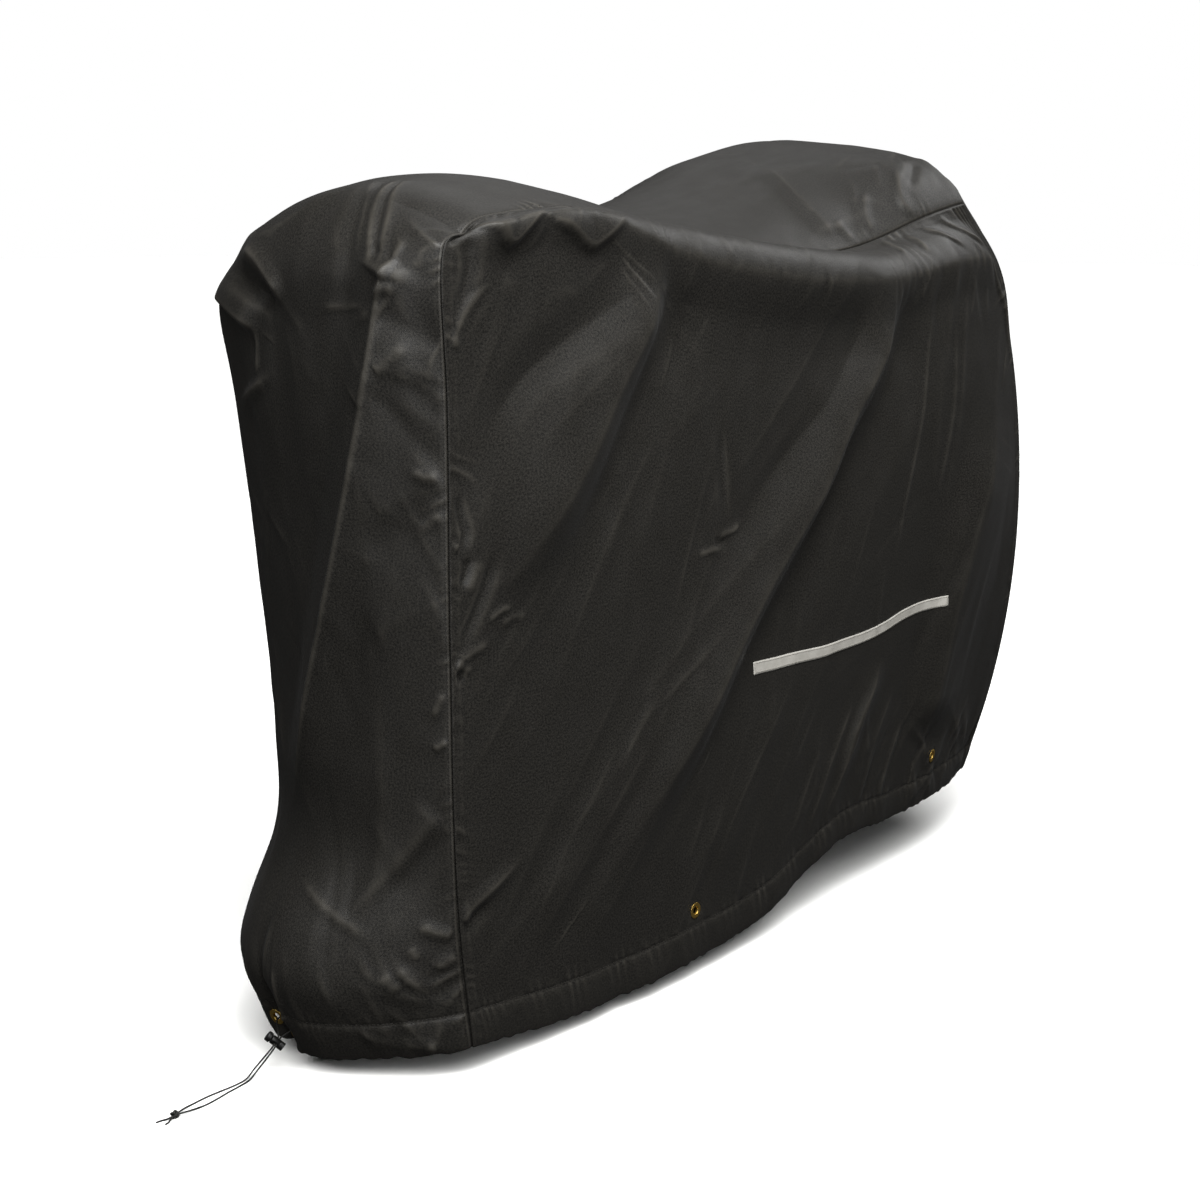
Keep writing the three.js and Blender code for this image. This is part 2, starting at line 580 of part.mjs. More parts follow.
// Each strand leaves its eyelet, goes through the lock, drops and lies along the floor to the knot
const FLOOR_CORD = FLOOR_Z + CORD / 2;
const STRANDS = [
  {
    name: 'near',
    seat: frontSeats[0],
    shift: STRAND_APART / 2,
    floor: [[-150, -35, -24.5], [-166, -39, FLOOR_CORD + 1], [-183, -41, FLOOR_CORD],
      [-202, -43, FLOOR_CORD], [-222, -46, FLOOR_CORD], [-240, -47.5, FLOOR_CORD],
      [-260, -46.5, FLOOR_CORD + 1]],
    tail: [[-290, -42, FLOOR_CORD + 0.6], [-296, -39, FLOOR_CORD], [-302, -38, FLOOR_CORD]],
  },
  {
    name: 'far',
    seat: frontSeats[1],
    shift: -STRAND_APART / 2,
    floor: [[-150, -30.5, -23.5], [-166, -34, FLOOR_CORD + 1], [-184, -35, FLOOR_CORD],
      [-204, -34, FLOOR_CORD], [-224, -33, FLOOR_CORD], [-242, -34, FLOOR_CORD],
      [-262, -37, FLOOR_CORD + 1]],
    tail: [[-290, -46.5, FLOOR_CORD + 0.6], [-294, -48.5, FLOOR_CORD], [-299, -49.5, FLOOR_CORD]],
  },
];

// Place just off the knot's surface, on the way from its middle to a point
function offKnot(point) {
  const way = point.clone().sub(KNOT).normalize();
  const surface = 1 / way.clone().divide(KNOT_RADII).length();
  return KNOT.clone().addScaledVector(way, surface + GAP);
}

// Place in an eyelet's bore where a strand lies against the rim on the lock's side
function againstRim(seat) {
  const pull = lockHole.clone().sub(seat.at).projectOnPlane(seat.normal);
  const flatRadius = EYELET.bore * Math.cos(Math.PI / SIDES.ring);
  return seat.at.clone().add(pull.setLength(flatRadius - CORD / 2 - GAP));
}

STRANDS.forEach(({ name, seat, shift, floor, tail }) => {
  const through = (distance) => lockHole.clone().addScaledVector(holeAxis, distance)
    .addScaledVector(LOCK_AXIS, shift);
  const start = againstRim(seat);
  const outOfEyelet = (distance) => start.clone().addScaledVector(seat.normal, distance);
  const floorPoints = floor.map((p) => new THREE.Vector3(...p));
  const tailPoints = tail.map((p) => new THREE.Vector3(...p));
  const route = [
    outOfEyelet(-5), outOfEyelet(0), outOfEyelet(4), through(9), through(4), through(-4), through(-10),
    ...floorPoints, offKnot(floorPoints[floorPoints.length - 1]),
  ];
  add(`drawcord_${name}`, tube(route, CORD_STEPS.strand), 'cord');
  add(`drawcord_tail_${name}`, tube([offKnot(tailPoints[0]), ...tailPoints], CORD_STEPS.tail), 'cord');
});

const knot = new THREE.SphereGeometry(1, SIDES.knotRound, SIDES.knotTall).scale(...KNOT_RADII);
add('drawcord_knot', knot.translate(...KNOT), 'cord');

export default cover;
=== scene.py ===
import bmesh
import bpy
import numpy as np
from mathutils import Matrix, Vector


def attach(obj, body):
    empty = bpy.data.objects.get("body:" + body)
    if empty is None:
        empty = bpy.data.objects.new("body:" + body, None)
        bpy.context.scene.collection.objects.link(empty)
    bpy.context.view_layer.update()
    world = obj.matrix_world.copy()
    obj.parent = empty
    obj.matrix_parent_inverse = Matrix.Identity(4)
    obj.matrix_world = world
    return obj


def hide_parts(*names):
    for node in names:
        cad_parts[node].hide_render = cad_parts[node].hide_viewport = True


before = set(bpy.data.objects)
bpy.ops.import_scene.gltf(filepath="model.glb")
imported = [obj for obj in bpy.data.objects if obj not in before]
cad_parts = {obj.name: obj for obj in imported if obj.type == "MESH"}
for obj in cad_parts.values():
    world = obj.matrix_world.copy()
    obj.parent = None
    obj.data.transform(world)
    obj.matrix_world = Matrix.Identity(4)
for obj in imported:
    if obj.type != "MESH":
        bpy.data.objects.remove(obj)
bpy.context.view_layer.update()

# Fitted storage cover for a mobility scooter, as it hangs: coated woven nylon in two side panels and one
# long centre panel that makes the front, the top and the back. Sizes are millimetres in the cover's own
# frame, +X from front to back, and place() turns them into the scene's metres.
MM = 0.001
CREST = np.array([1130.0, 0.0, 1038.0])
LENGTH = 1220.0
HEIGHT = 930.0
WIDTH = 500.0
CLOTH = 1.3
FLOOR_Z = -31.0

# Camera: eye in metres, pitch and heading in degrees, lens on a 36 mm wide sensor
EYE = (-2.800, -1.654, -0.112)
PITCH = 79.47
HEADING = -53.3
LENS = 61.32

# Seams: the felled welt on the side panels, whose width wanders and whose height is uneven over so many
# millimetres, and the ditch and the sunk stitch line on the centre panel
SEAM = {"welt": 11.0, "welt_high": 0.6, "welt_start": 1.5, "welt_edge": 4.2, "wander": 0.9,
        "wander_over": 70, "uneven_over": 55, "ditch": 1.2, "ditch_high": 3.2, "ditch_wide": 1.5,
        "stitch_at": 4.6, "stitch_deep": 0.5, "stitch_wide": 1.6}
# Hem: a swelled channel closed by a sunk stitch line, gathers above and below the line, a slow wave, and the
# edge drawn up unevenly
HEM = {"channel": 47.0, "pillow": 1.6, "line_deep": 1.0, "line_wide": 3.0, "gather": 0.45, "pitch": 21,
       "slant": 0.35, "drift": 0.6, "drift_over": 80, "gather_over": 110, "sharp": 0.02, "above": 16.0,
       "below": 30.0, "slow": 1.4, "slow_over": 140, "slow_tall": 60, "edge_up": 2.0, "edge_wave": 0.9,
       "edge_over": 30, "edge_tall": 16, "start": 3}
# Gathers at a seam: their pitch along it and its drift, how sharp a crest is, how far they reach and how
# soon they have grown, and over what length of seam the height and the reach change
PUCKER = {"pitch": 24.0, "drift": 0.7, "drift_over": 90, "sharp": 0.015, "uneven_over": 120, "reach": 16.0,
          "reach_over": 150, "grown": 4, "start": 2, "slant": 0.7, "top_slant": 0.3}
GATHERS = {"front": 1.3, "rear": 1.6, "top": 1.2, "near": 1.2, "far": 1.8}
# Shares that change along a seam or hem: the least share, and how much a ripple adds to it
UNEVEN = {"pucker": (0.22, 1.1), "pucker_reach": (0.7, 0.8), "gather": (0.4, 0.6), "welt": (0.6, 0.5)}
# A stitch: a thread bead with shoulders at a share of its half length, as wide as a share of its middle
STITCH = {"pitch": 5.0, "long": 3.4, "half_wide": 0.36, "sides": 6, "proud": 0.12, "shoulder_at": 0.72,
          "shoulder": 0.75}
# Sewing stops short of the ends by these lengths, and its lines are followed by so many points
SEWN_SHORT = {"seam": 12, "hem": 10}
RUN_POINTS = {"round": 1600, "along": 500, "across": 240, "tape_along": 200, "tape_up": 12}
# Cloth is painted lighter where it stands so far above the places round it: partly rubbed wear, partly a
# painted highlight along its crests
CREST_LIGHT_RISE = 0.5
FOLD_FADE = 45.0
SEAM_FADE = 10.0
CORNER_FADE = 30
# The front top corner is cut round: how far the corner is drawn in, and over what reach
ROUND_CORNER = {"in": 18.6, "reach": 52.6}
# A crease's crest is rounded over a width in mm, and its foot over a share of its reach. It is spent a few
# reaches away, and past the ends of its path a share of its height is left
CREASE = {"soft": 1.8, "foot": 0.22, "spent": 2.6, "left": 0.1, "fade": (0.3, 0.3)}

# Grid lines: fine spacing at a break, growing to the regular step away from it. Cells where the cloth turns
# are split in four, and the sharpest of those in four again: the shares of cells that are split
GRID = {"grow": 0.45, "seam": 1.6, "line": 3.0, "step": 8.4, "across": 9.0, "eyelet": 7.5}
SPLIT = 4
NEAR_SPLIT = (0.44, 0.28)
FAR_SPLIT = (0.30, 0.10)
CENTRE_SPLIT = (0.35, 0.21)

EYELET = {"bore": 5.0, "barrel": 6.1, "flange": 10.3, "flange_thick": 0.9, "cloth_hole": 6.8,
          "half_grip": 1.3, "lip": 1.25, "crown_out": 0.6}
# Half the thickness of the plain sheets, and how far back the cover's middle lies
PLAIN_HALF = 1.0
INSIDE_X = 600.0
# Sides of a turned piece, and of the drill that makes the lock's cross hole
TURNED_SIDES = 48
DRILL_SIDES = 32
EYELET_FLAT = {"full": 12.0, "none": 26.0}
SIDE_EYELET = (0.328 * LENGTH, 0.072 * HEIGHT)
REAR_EYELET = (0.857 * LENGTH, 0.086 * HEIGHT)
FRONT_EYELETS = {"cord_eyelet_near": (0.0245 * HEIGHT, 0.477 * WIDTH),
                 "cord_eyelet_far": (0.029 * HEIGHT, 0.553 * WIDTH)}
PINCH = {"across": 0.515 * WIDTH, "deep": 15.0, "wide": 0.035 * WIDTH, "tall": 0.11 * HEIGHT}

TAPE = {"from": 0.44 * LENGTH, "to": 0.832 * LENGTH, "low": 0.362 * HEIGHT, "high": 0.38 * HEIGHT,
        "thick": 0.7, "off": 0.1, "sewn_in": 2.4, "pitch": 3.6, "lines": (160, 9)}
# How far the cloth hangs lower than straight around the tape: along (mm), down (mm)
TAPE_SAG = [(0, 0), (403, 0), (529, -10), (620, -1), (710, 18), (795, 24), (875, 13), (920, 2),
            (1015, -5), (1160, 0), (1220, 0)]
SAG_REACH = 90.0

CORD = 2.0
LOCK = {"radius": 5.2, "long": 17.0, "head": 6.0, "head_long": 6.0, "socket": 3.0, "edge": 1.0, "neck": 2.6,
        "hole": 2.7, "hole_at": 4.0, "drill_reach": 20, "gap": 0.3, "button_round": 1.4, "button_flat": 0.55}
GRIP_GROOVES = {"at": (11.2, 13.0, 14.8), "half_wide": 0.55, "half_floor": 0.25, "deep": 0.35}
KNOT = np.array([-281.0, -44.0, FLOOR_Z + 4.2])
# The end knot as one cord in three lobes: mean radius, how far a lobe stands out, its flatness, half its
# height, the radius of its cord, and how far under its middle the strands go through
KNOT_FORM = {"ring": 2.9, "lobe": 1.55, "flat": 0.84, "half_tall": 2.7, "cord": 1.25, "strands_under": 1.2,
             "steps": 120}
STRAND_APART = 2.5

# Heights of a side panel's levels, as shares of the way up the panel and of its height to the ridge
LEVELS = (0, 0.16, 0.5, 0.78, 0.93, 1)
LEVEL_SHARE = (0, 0.165, 0.52, 0.83)

# One row for each upright section of a side panel. u is its share of the length. x and out (distance from
# the centre plane) are given at the hem, low, middle, high, ridge and seam levels, z at hem, ridge, seam.
NEAR_SECTIONS = [
    {"u": 0.00, "x": (0, -22, -34, -36, -40, -14), "out": (230, 232, 234, 236, 236, 230),
     "z": (0, 893, 924)},
    {"u": 0.13, "x": (160, 158, 155, 155, 160, 160), "out": (244, 248, 246, 244, 240, 222),
     "z": (-13, 918, 940)},
    {"u": 0.31, "x": (380, 380, 380, 380, 380, 380), "out": (260, 262, 256, 248, 232, 200),
     "z": (-10, 910, 920)},
    {"u": 0.47, "x": (570, 570, 570, 570, 570, 570), "out": (258, 264, 262, 254, 234, 172),
     "z": (2, 894, 888)},
    {"u": 0.63, "x": (780, 780, 780, 780, 780, 770), "out": (252, 260, 266, 256, 234, 165),
     "z": (54, 878, 876)},
    {"u": 0.77, "x": (935, 940, 945, 940, 935, 930), "out": (248, 256, 270, 260, 233, 180),
     "z": (50, 870, 890)},
    {"u": 0.90, "x": (1100, 1120, 1150, 1135, 1110, 1080), "out": (242, 250, 274, 264, 238, 206),
     "z": (52, 880, 930)},
    {"u": 1.00, "x": (1245, 1292, 1328, 1300, 1254, 1182), "out": (212, 234, 254, 244, 232, 214),
     "z": (54, 876, 950)},
]
FAR_SECTIONS = [
    {"u": 0.00, "x": (95, 108, 108, 78, 48, 55), "out": (180, 160, 182, 198, 198, 186), "z": (14, 832, 868)},
    {"u": 0.13, "x": (215, 215, 210, 205, 200, 200), "out": (228, 232, 236, 236, 232, 205),
     "z": (4, 888, 912)},
    {"u": 0.31, "x": (400, 400, 400, 400, 400, 400), "out": (255, 258, 254, 246, 236, 198),
     "z": (-8, 912, 922)},
    {"u": 0.47, "x": (580, 580, 580, 580, 580, 580), "out": (258, 262, 260, 252, 238, 180),
     "z": (4, 905, 915)},
    {"u": 0.63, "x": (780, 780, 780, 780, 780, 780), "out": (254, 260, 266, 256, 240, 178),
     "z": (36, 914, 945)},
    {"u": 0.77, "x": (935, 940, 945, 940, 935, 930), "out": (248, 256, 270, 260, 240, 190),
     "z": (44, 935, 986)},
    {"u": 0.90, "x": (1100, 1120, 1150, 1130, 1110, 1080), "out": (242, 250, 272, 262, 240, 206),
     "z": (50, 930, 980)},
    {"u": 1.00, "x": (1240, 1285, 1320, 1290, 1240, 1170), "out": (210, 228, 248, 240, 232, 208),
     "z": (54, 920, 982)},
]

# Middle line of the centre panel: t is 0-1 up the front, 1-2 along the top and 2-3 down the back, then
# x, y, z, and how squarely the cloth stands out between its two seams
MIDDLE_SECTIONS = [
    (0.00, -100, -38, -14, 1.8), (0.05, -113, -26, 34, 2.1), (0.10, -120, -14, 80, 2.4),
    (0.15, -106, -12, 128, 2.3), (0.22, -64, -16, 205, 2.1), (0.35, -48, -16, 330, 2.2),
    (0.60, -46, -10, 560, 2.5), (0.85, -44, -6, 800, 2.8), (0.95, -26, 0, 896, 2.8),
    (1.00, 16, 0, 944, 2.6), (1.08, 110, 0, 972, 2.4), (1.25, 300, -6, 969, 2.2),
    (1.42, 530, -10, 934, 2.0), (1.60, 760, 10, 955, 2.2), (1.78, 960, 10, 1004, 3.0),
    (1.92, 1130, 0, 1040, 5.0), (2.00, 1208, 0, 1030, 5.0), (2.06, 1266, 0, 950, 4.0),
    (2.25, 1330, 0, 740, 3.0), (2.50, 1375, 0, 500, 2.8), (2.80, 1345, 0, 180, 2.8),
    (3.00, 1262, 0, 50, 2.8),
]

# Folds, listed one by one. A path runs in millimetres on the panel: (along, up) on a side panel, (t times
# 930, across) on the centre panel. wide is the reach on the left and on the right of the path, high its rise
# outwards. A round fold is a soft bell; the others are creased. grow is how many times wider a fold is at
# the end of its path, and fade the shares of its length over which it rises and dies away.
SIDE_FOLDS = [
    {"name": "front facet", "path": [(330, 834), (308, 785), (268, 745), (226, 702), (188, 652), (146, 605),
                                     (94, 552), (36, 495)],
     "wide": (28, 52), "high": 24, "soft": 7, "grow": 2.1, "fade": (0.2, 0.35)},
    {"name": "front trough", "path": [(384, 814), (374, 770), (332, 722), (286, 662), (205, 562),
                                      (124, 480)],
     "wide": (50, 26), "high": -10, "soft": 8, "grow": 1.6, "fade": (0.15, 0.4)},
    {"name": "long fold", "path": [(905, 822), (823, 725), (728, 645), (658, 562), (543, 466), (378, 306),
                                   (200, 150)],
     "wide": (30, 58), "high": 25, "soft": 7, "grow": 1.5, "fade": (0.12, 0.3)},
    {"name": "long trough", "path": [(968, 800), (880, 690), (780, 595), (705, 525), (600, 425), (450, 285)],
     "wide": (70, 32), "high": -10, "soft": 8, "fade": (0.12, 0.4)},
    {"name": "rear corner", "path": [(1160, 650), (1110, 560), (1060, 440), (1035, 320), (1020, 210),
                                     (1000, 110)],
     "wide": (110, 56), "high": 22, "soft": 6, "fade": (0.3, 0.15)},
    {"name": "rear low fold", "path": [(870, 300), (800, 190), (740, 90)], "wide": (36, 30), "high": 8},
    {"name": "shoulder edge", "path": [(20, 884), (120, 888), (230, 870), (325, 842), (440, 824), (550, 818),
                                       (700, 814), (900, 828), (1050, 844), (1200, 858)],
     "wide": (72, 42), "high": 15, "soft": 6, "fade": (0.04, 0.03)},
]
CENTRE_FOLDS = [
    {"name": "front ridge", "path": [(856, 50), (814, 66), (749, 81), (670, 101), (604, 121), (516, 151),
                                     (432, 186), (358, 216), (298, 246), (240, 286)],
     "wide": (50, 50), "high": 17, "fade": (0.03, 0.25)},
    {"name": "shoulder trough", "path": [(884, 420), (866, 360), (846, 315), (822, 262)], "wide": (18, 16),
     "high": -9, "fade": (0.45, 0.25)},
    {"name": "shoulder ridge", "path": [(898, 380), (876, 318), (851, 280), (824, 248)], "wide": (14, 12),
     "high": 8, "fade": (0.3, 0.25)},
    {"name": "shoulder facet", "path": [(866, 462), (828, 370), (798, 308)], "wide": (40, 12), "high": 14,
     "fade": (0.3, 0.25)},
    {"name": "low front fold", "path": [(288, 12), (246, 46), (214, 72), (150, 130)], "wide": (32, 30),
     "high": 6, "fade": (0.1, 0.4)},
    {"name": "low front trough", "path": [(262, 2), (240, 30), (205, 56), (150, 95)], "wide": (20, 20),
     "high": -6, "fade": (0.05, 0.5)},
    {"name": "front brow", "path": [(925, 430), (904, 340), (910, 285), (930, 235), (950, 190)],
     "wide": (30, 40), "high": 7, "fade": (0.2, 0.3)},
    {"name": "seat slope fold", "path": [(1860, 60), (1760, 180), (1700, 330)], "wide": (50, 60),
     "high": -7, "round": True},
    {"name": "back fold near", "path": [(2200, 130), (2450, 150), (2700, 170)], "wide": (55, 55), "high": 9},
    {"name": "back fold far", "path": [(2250, 340), (2500, 330), (2740, 350)], "wide": (55, 60), "high": -9},
]
NEAR_CREASES = [
    {"name": "packing crease", "path": [(458, 660), (463, 610), (466, 570), (470, 545)], "wide": (7, 15),
     "high": -3.0},
    {"name": "dent upper", "path": [(452, 524), (466, 532), (484, 535), (502, 544)], "wide": (6, 4),
     "high": 2.2},
    {"name": "dent lower", "path": [(404, 512), (428, 514), (456, 516)], "wide": (5, 4), "high": 1.9},
    {"name": "dent hollow", "path": [(440, 524), (470, 522)], "wide": (7, 7), "high": -2.4},
    {"name": "valley left of the facet", "path": [(285, 800), (228, 776), (172, 756), (115, 733), (75, 705),
                                                  (35, 668)],
     "wide": (26, 34), "high": -8.0, "fade": (0.25, 0.3)},
    {"name": "rear fine crease", "path": [(1005, 800), (965, 655), (915, 515), (890, 425)], "wide": (5, 5),
     "high": 1.2},
    {"name": "rear fine crease two", "path": [(1060, 790), (1030, 640), (985, 500)], "wide": (7, 6),
     "high": 1.5},
    {"name": "second facet edge", "path": [(800, 775), (690, 670), (575, 594), (480, 530)],
     "wide": (44, 24), "high": -6.0, "fade": (0.1, 0.4)},
    {"name": "corner hollow", "path": [(8, 870), (15, 900), (34, 922)], "wide": (14, 12), "high": -5.0},
    {"name": "top seam hollow", "path": [(24, 885), (34, 846), (28, 815), (13, 792)], "wide": (12, 10),
     "high": -4.5},
    {"name": "top seam fold", "path": [(64, 820), (38, 806), (19, 788), (9, 766)], "wide": (8, 5),
     "high": 2.2, "fade": (0.4, 0.1)},
    {"name": "seam hollow upper", "path": [(8, 630), (16, 600), (20, 585), (14, 566)], "wide": (6, 6),
     "high": -3.4},
    {"name": "seam hollow middle", "path": [(22, 564), (20, 545), (12, 530)], "wide": (6, 6), "high": -3.2},
    {"name": "seam hollow long", "path": [(53, 564), (46, 535), (38, 515), (28, 495), (9, 465)],
     "wide": (9, 7), "high": -3.4},
    {"name": "seam fold between", "path": [(37, 560), (30, 540), (21, 522)], "wide": (8, 7), "high": 1.8},
    {"name": "seam pucker", "path": [(1, 579), (11, 573)], "wide": (4, 5), "high": 2.6, "fade": (0.1, 0.4)},
    {"name": "bright dent", "path": [(3, 451), (15, 457), (28, 462), (50, 468)], "wide": (8, 6),
     "high": 2.4, "fade": (0.05, 0.3)},
    {"name": "bright dent low", "path": [(6, 452), (18, 446), (28, 438)], "wide": (6, 7), "high": 2.2,
     "fade": (0.05, 0.4)},
    {"name": "dent shade", "path": [(4, 438), (18, 440)], "wide": (7, 8), "high": -4.0},
    {"name": "middle dent", "path": [(44, 489), (64, 498), (80, 497)], "wide": (5, 5), "high": 2.0},
    {"name": "middle dent low", "path": [(60, 481), (78, 487), (100, 486)], "wide": (6, 7), "high": 1.8},
    {"name": "low facet", "path": [(2, 158), (14, 172), (34, 183), (62, 199), (92, 220)],
     "wide": (13, 10), "high": 4.2, "fade": (0.05, 0.5)},
    {"name": "low facet shade", "path": [(2, 140), (20, 160), (44, 172)], "wide": (8, 12), "high": -3.4},
    {"name": "ridge scallop one", "path": [(30, 912), (56, 888), (76, 858), (96, 874), (128, 904)],
     "wide": (26, 8), "high": 8.0, "fade": (0.15, 0.25)},
    {"name": "ridge scallop two", "path": [(128, 884), (160, 860), (190, 838), (214, 846), (262, 876)],
     "wide": (26, 9), "high": 7.0, "fade": (0.2, 0.3)},
    {"name": "fan one", "path": [(1026, 922), (1026, 892), (1010, 858)], "wide": (9, 7), "high": 3.2},
    {"name": "fan two", "path": [(1062, 922), (1084, 896), (1116, 868)], "wide": (9, 7), "high": 3.6},
    {"name": "fan three", "path": [(1120, 925), (1146, 898), (1186, 866)], "wide": (10, 8),
     "high": 3.6},
    {"name": "fan four", "path": [(985, 926), (968, 892), (958, 856)], "wide": (9, 7), "high": 3.6},
    {"name": "rear edge line", "path": [(1180, 866), (1195, 815), (1210, 775), (1214, 700)],
     "wide": (7, 6), "high": 3.6, "fade": (0.1, 0.4)},
    {"name": "rear low one", "path": [(860, 275), (780, 175), (745, 95), (700, 50)], "wide": (16, 9),
     "high": 2.6},
    {"name": "rear low two", "path": [(915, 230), (850, 130), (826, 60)], "wide": (12, 9), "high": 2.2},
    {"name": "rear low three", "path": [(790, 240), (720, 140), (672, 60)], "wide": (11, 9), "high": 2.4},
    {"name": "rear low four", "path": [(950, 170), (905, 90), (890, 40)], "wide": (10, 8), "high": 2.8},
    {"name": "middle low fold", "path": [(640, 330), (500, 190), (420, 90)], "wide": (40, 26), "high": 5.0},
    {"name": "front low fold", "path": [(250, 330), (150, 210), (90, 110)], "wide": (36, 26), "high": 4.4},
]
CENTRE_CREASES = [
    {"name": "front ridge line", "path": [(880, 44), (856, 50), (814, 66), (749, 81), (670, 101), (604, 121),
                                          (516, 151), (432, 186), (358, 216), (298, 246)],
     "wide": (5, 5), "high": 2.4, "fade": (0.03, 0.2)},
    {"name": "soft pleat hollow", "path": [(985, 185), (925, 152), (870, 128), (800, 120)],
     "wide": (26, 20), "high": -4.5, "fade": (0.15, 0.4)},
    {"name": "pleat one", "path": [(985, 168), (921, 122), (886, 100), (850, 84)], "wide": (5, 7),
     "high": 1.8, "fade": (0.15, 0.1)},
    {"name": "pleat hollow", "path": [(985, 158), (921, 108), (886, 88), (850, 74)], "wide": (5, 5),
     "high": -2.0, "fade": (0.15, 0.1)},
    {"name": "pleat two", "path": [(985, 148), (921, 95), (886, 76), (846, 64)], "wide": (8, 5),
     "high": 2.2, "fade": (0.15, 0.1)},
    {"name": "pleat three", "path": [(975, 196), (921, 140), (892, 122), (860, 108)], "wide": (6, 7),
     "high": 1.5, "fade": (0.15, 0.3)},
    {"name": "brow scallop", "path": [(834, 62), (842, 58), (848, 50), (841, 38), (850, 26), (868, 19),
                                      (884, 8)], "wide": (48, 12), "high": 4.2, "fade": (0.06, 0.1)},
    {"name": "brow small fold", "path": [(817, 72), (824, 60), (824, 42)], "wide": (6, 6), "high": 2.2},
    {"name": "upper hollow", "path": [(806, 62), (794, 45), (782, 25), (770, 6)], "wide": (26, 24),
     "high": -3.4, "fade": (0.1, 0.1)},
    {"name": "middle fold", "path": [(716, 100), (736, 84), (747, 68), (752, 50), (744, 8)],
     "wide": (34, 12), "high": 2.4, "fade": (0.05, 0.1)},
    {"name": "middle small fold", "path": [(748, 72), (762, 52), (774, 36)], "wide": (8, 7), "high": 2.0,
     "fade": (0.1, 0.3)},
    {"name": "middle hollow", "path": [(722, 78), (714, 62), (700, 50), (676, 28), (656, 8)],
     "wide": (14, 20), "high": -2.0, "fade": (0.05, 0.15)},
    {"name": "lower fold", "path": [(606, 82), (624, 50), (640, 26), (646, 6)], "wide": (34, 18),
     "high": 1.6, "fade": (0.1, 0.1)},
    {"name": "lower hollow", "path": [(560, 100), (586, 56), (600, 8)], "wide": (26, 30), "high": -1.6,
     "fade": (0.2, 0.1)},
    {"name": "long low fold", "path": [(470, 96), (500, 52), (520, 8)], "wide": (40, 30), "high": 2.0,
     "fade": (0.2, 0.1)},
    {"name": "seam dash one", "path": [(652, 40), (646, 25), (646, 8)], "wide": (6, 6), "high": 2.2},
    {"name": "seam dash two", "path": [(612, 6), (600, 20), (589, 32)], "wide": (5, 5), "high": 2.0},
    {"name": "seam dash three", "path": [(370, 4), (356, 22)], "wide": (4, 5), "high": 2.6},
    {"name": "seam dash four", "path": [(424, 8), (391, 22)], "wide": (5, 5), "high": 2.2},
    {"name": "far thin ridge", "path": [(806, 324), (781, 320), (749, 325)], "wide": (5, 5), "high": 2.4},
    {"name": "far low ridge", "path": [(728, 396), (739, 328), (752, 286)], "wide": (10, 12), "high": 4.0},
    {"name": "front packing crease", "path": [(814, 176), (812, 130), (809, 84)], "wide": (4, 4),
     "high": 1.2},
    {"name": "low arc crease", "path": [(191, 215), (158, 105), (140, 75)], "wide": (5, 6), "high": 1.8},
    {"name": "low bright fold one", "path": [(160, 36), (150, 20), (144, 6)], "wide": (9, 7), "high": 2.8,
     "fade": (0.3, 0.1)},
    {"name": "low bright fold two", "path": [(109, 68), (98, 60), (86, 51)], "wide": (8, 7), "high": 2.0},
    {"name": "low bright fold three", "path": [(118, 52), (98, 40), (84, 26)], "wide": (8, 7),
     "high": 2.2},
    {"name": "low bright fold four", "path": [(137, 42), (120, 34)], "wide": (5, 5), "high": 1.6},
    {"name": "low bright fold five", "path": [(106, 20), (116, 11), (118, 4)], "wide": (8, 7),
     "high": 2.2, "fade": (0.3, 0.1)},
    {"name": "hem bright fold", "path": [(26, 72), (14, 50), (6, 26)], "wide": (12, 9), "high": 2.6},
    {"name": "seat slope facet", "path": [(1655, 250), (1618, 120), (1612, 20)], "wide": (90, 24),
     "high": 7.0, "fade": (0.3, 0.1)},
    {"name": "seat slope crease one", "path": [(1704, 66), (1688, 50), (1676, 25), (1684, 6)],
     "wide": (9, 7), "high": 2.8},
    {"name": "seat slope crease two", "path": [(1764, 76), (1744, 46), (1735, 22), (1754, 4)],
     "wide": (14, 8), "high": 3.8},
    {"name": "seat slope hollow", "path": [(1812, 78), (1753, 34)], "wide": (12, 12), "high": -4.4},
    {"name": "seat slope crease three", "path": [(1628, 46), (1641, 8)], "wide": (9, 9), "high": 2.4},
    {"name": "seat crown edge", "path": [(1834, 100), (1838, 78), (1846, 40), (1862, 6)],
     "wide": (14, 18), "high": 4.5},
    {"name": "pinch gather one", "path": [(8, 240), (60, 222), (110, 214)], "wide": (8, 8), "high": 3.4},
    {"name": "pinch gather two", "path": [(8, 276), (58, 292), (104, 306)], "wide": (8, 8), "high": 3.2},
    {"name": "pinch gather three", "path": [(60, 248), (110, 244), (160, 238)], "wide": (8, 8),
     "high": 2.4},
]

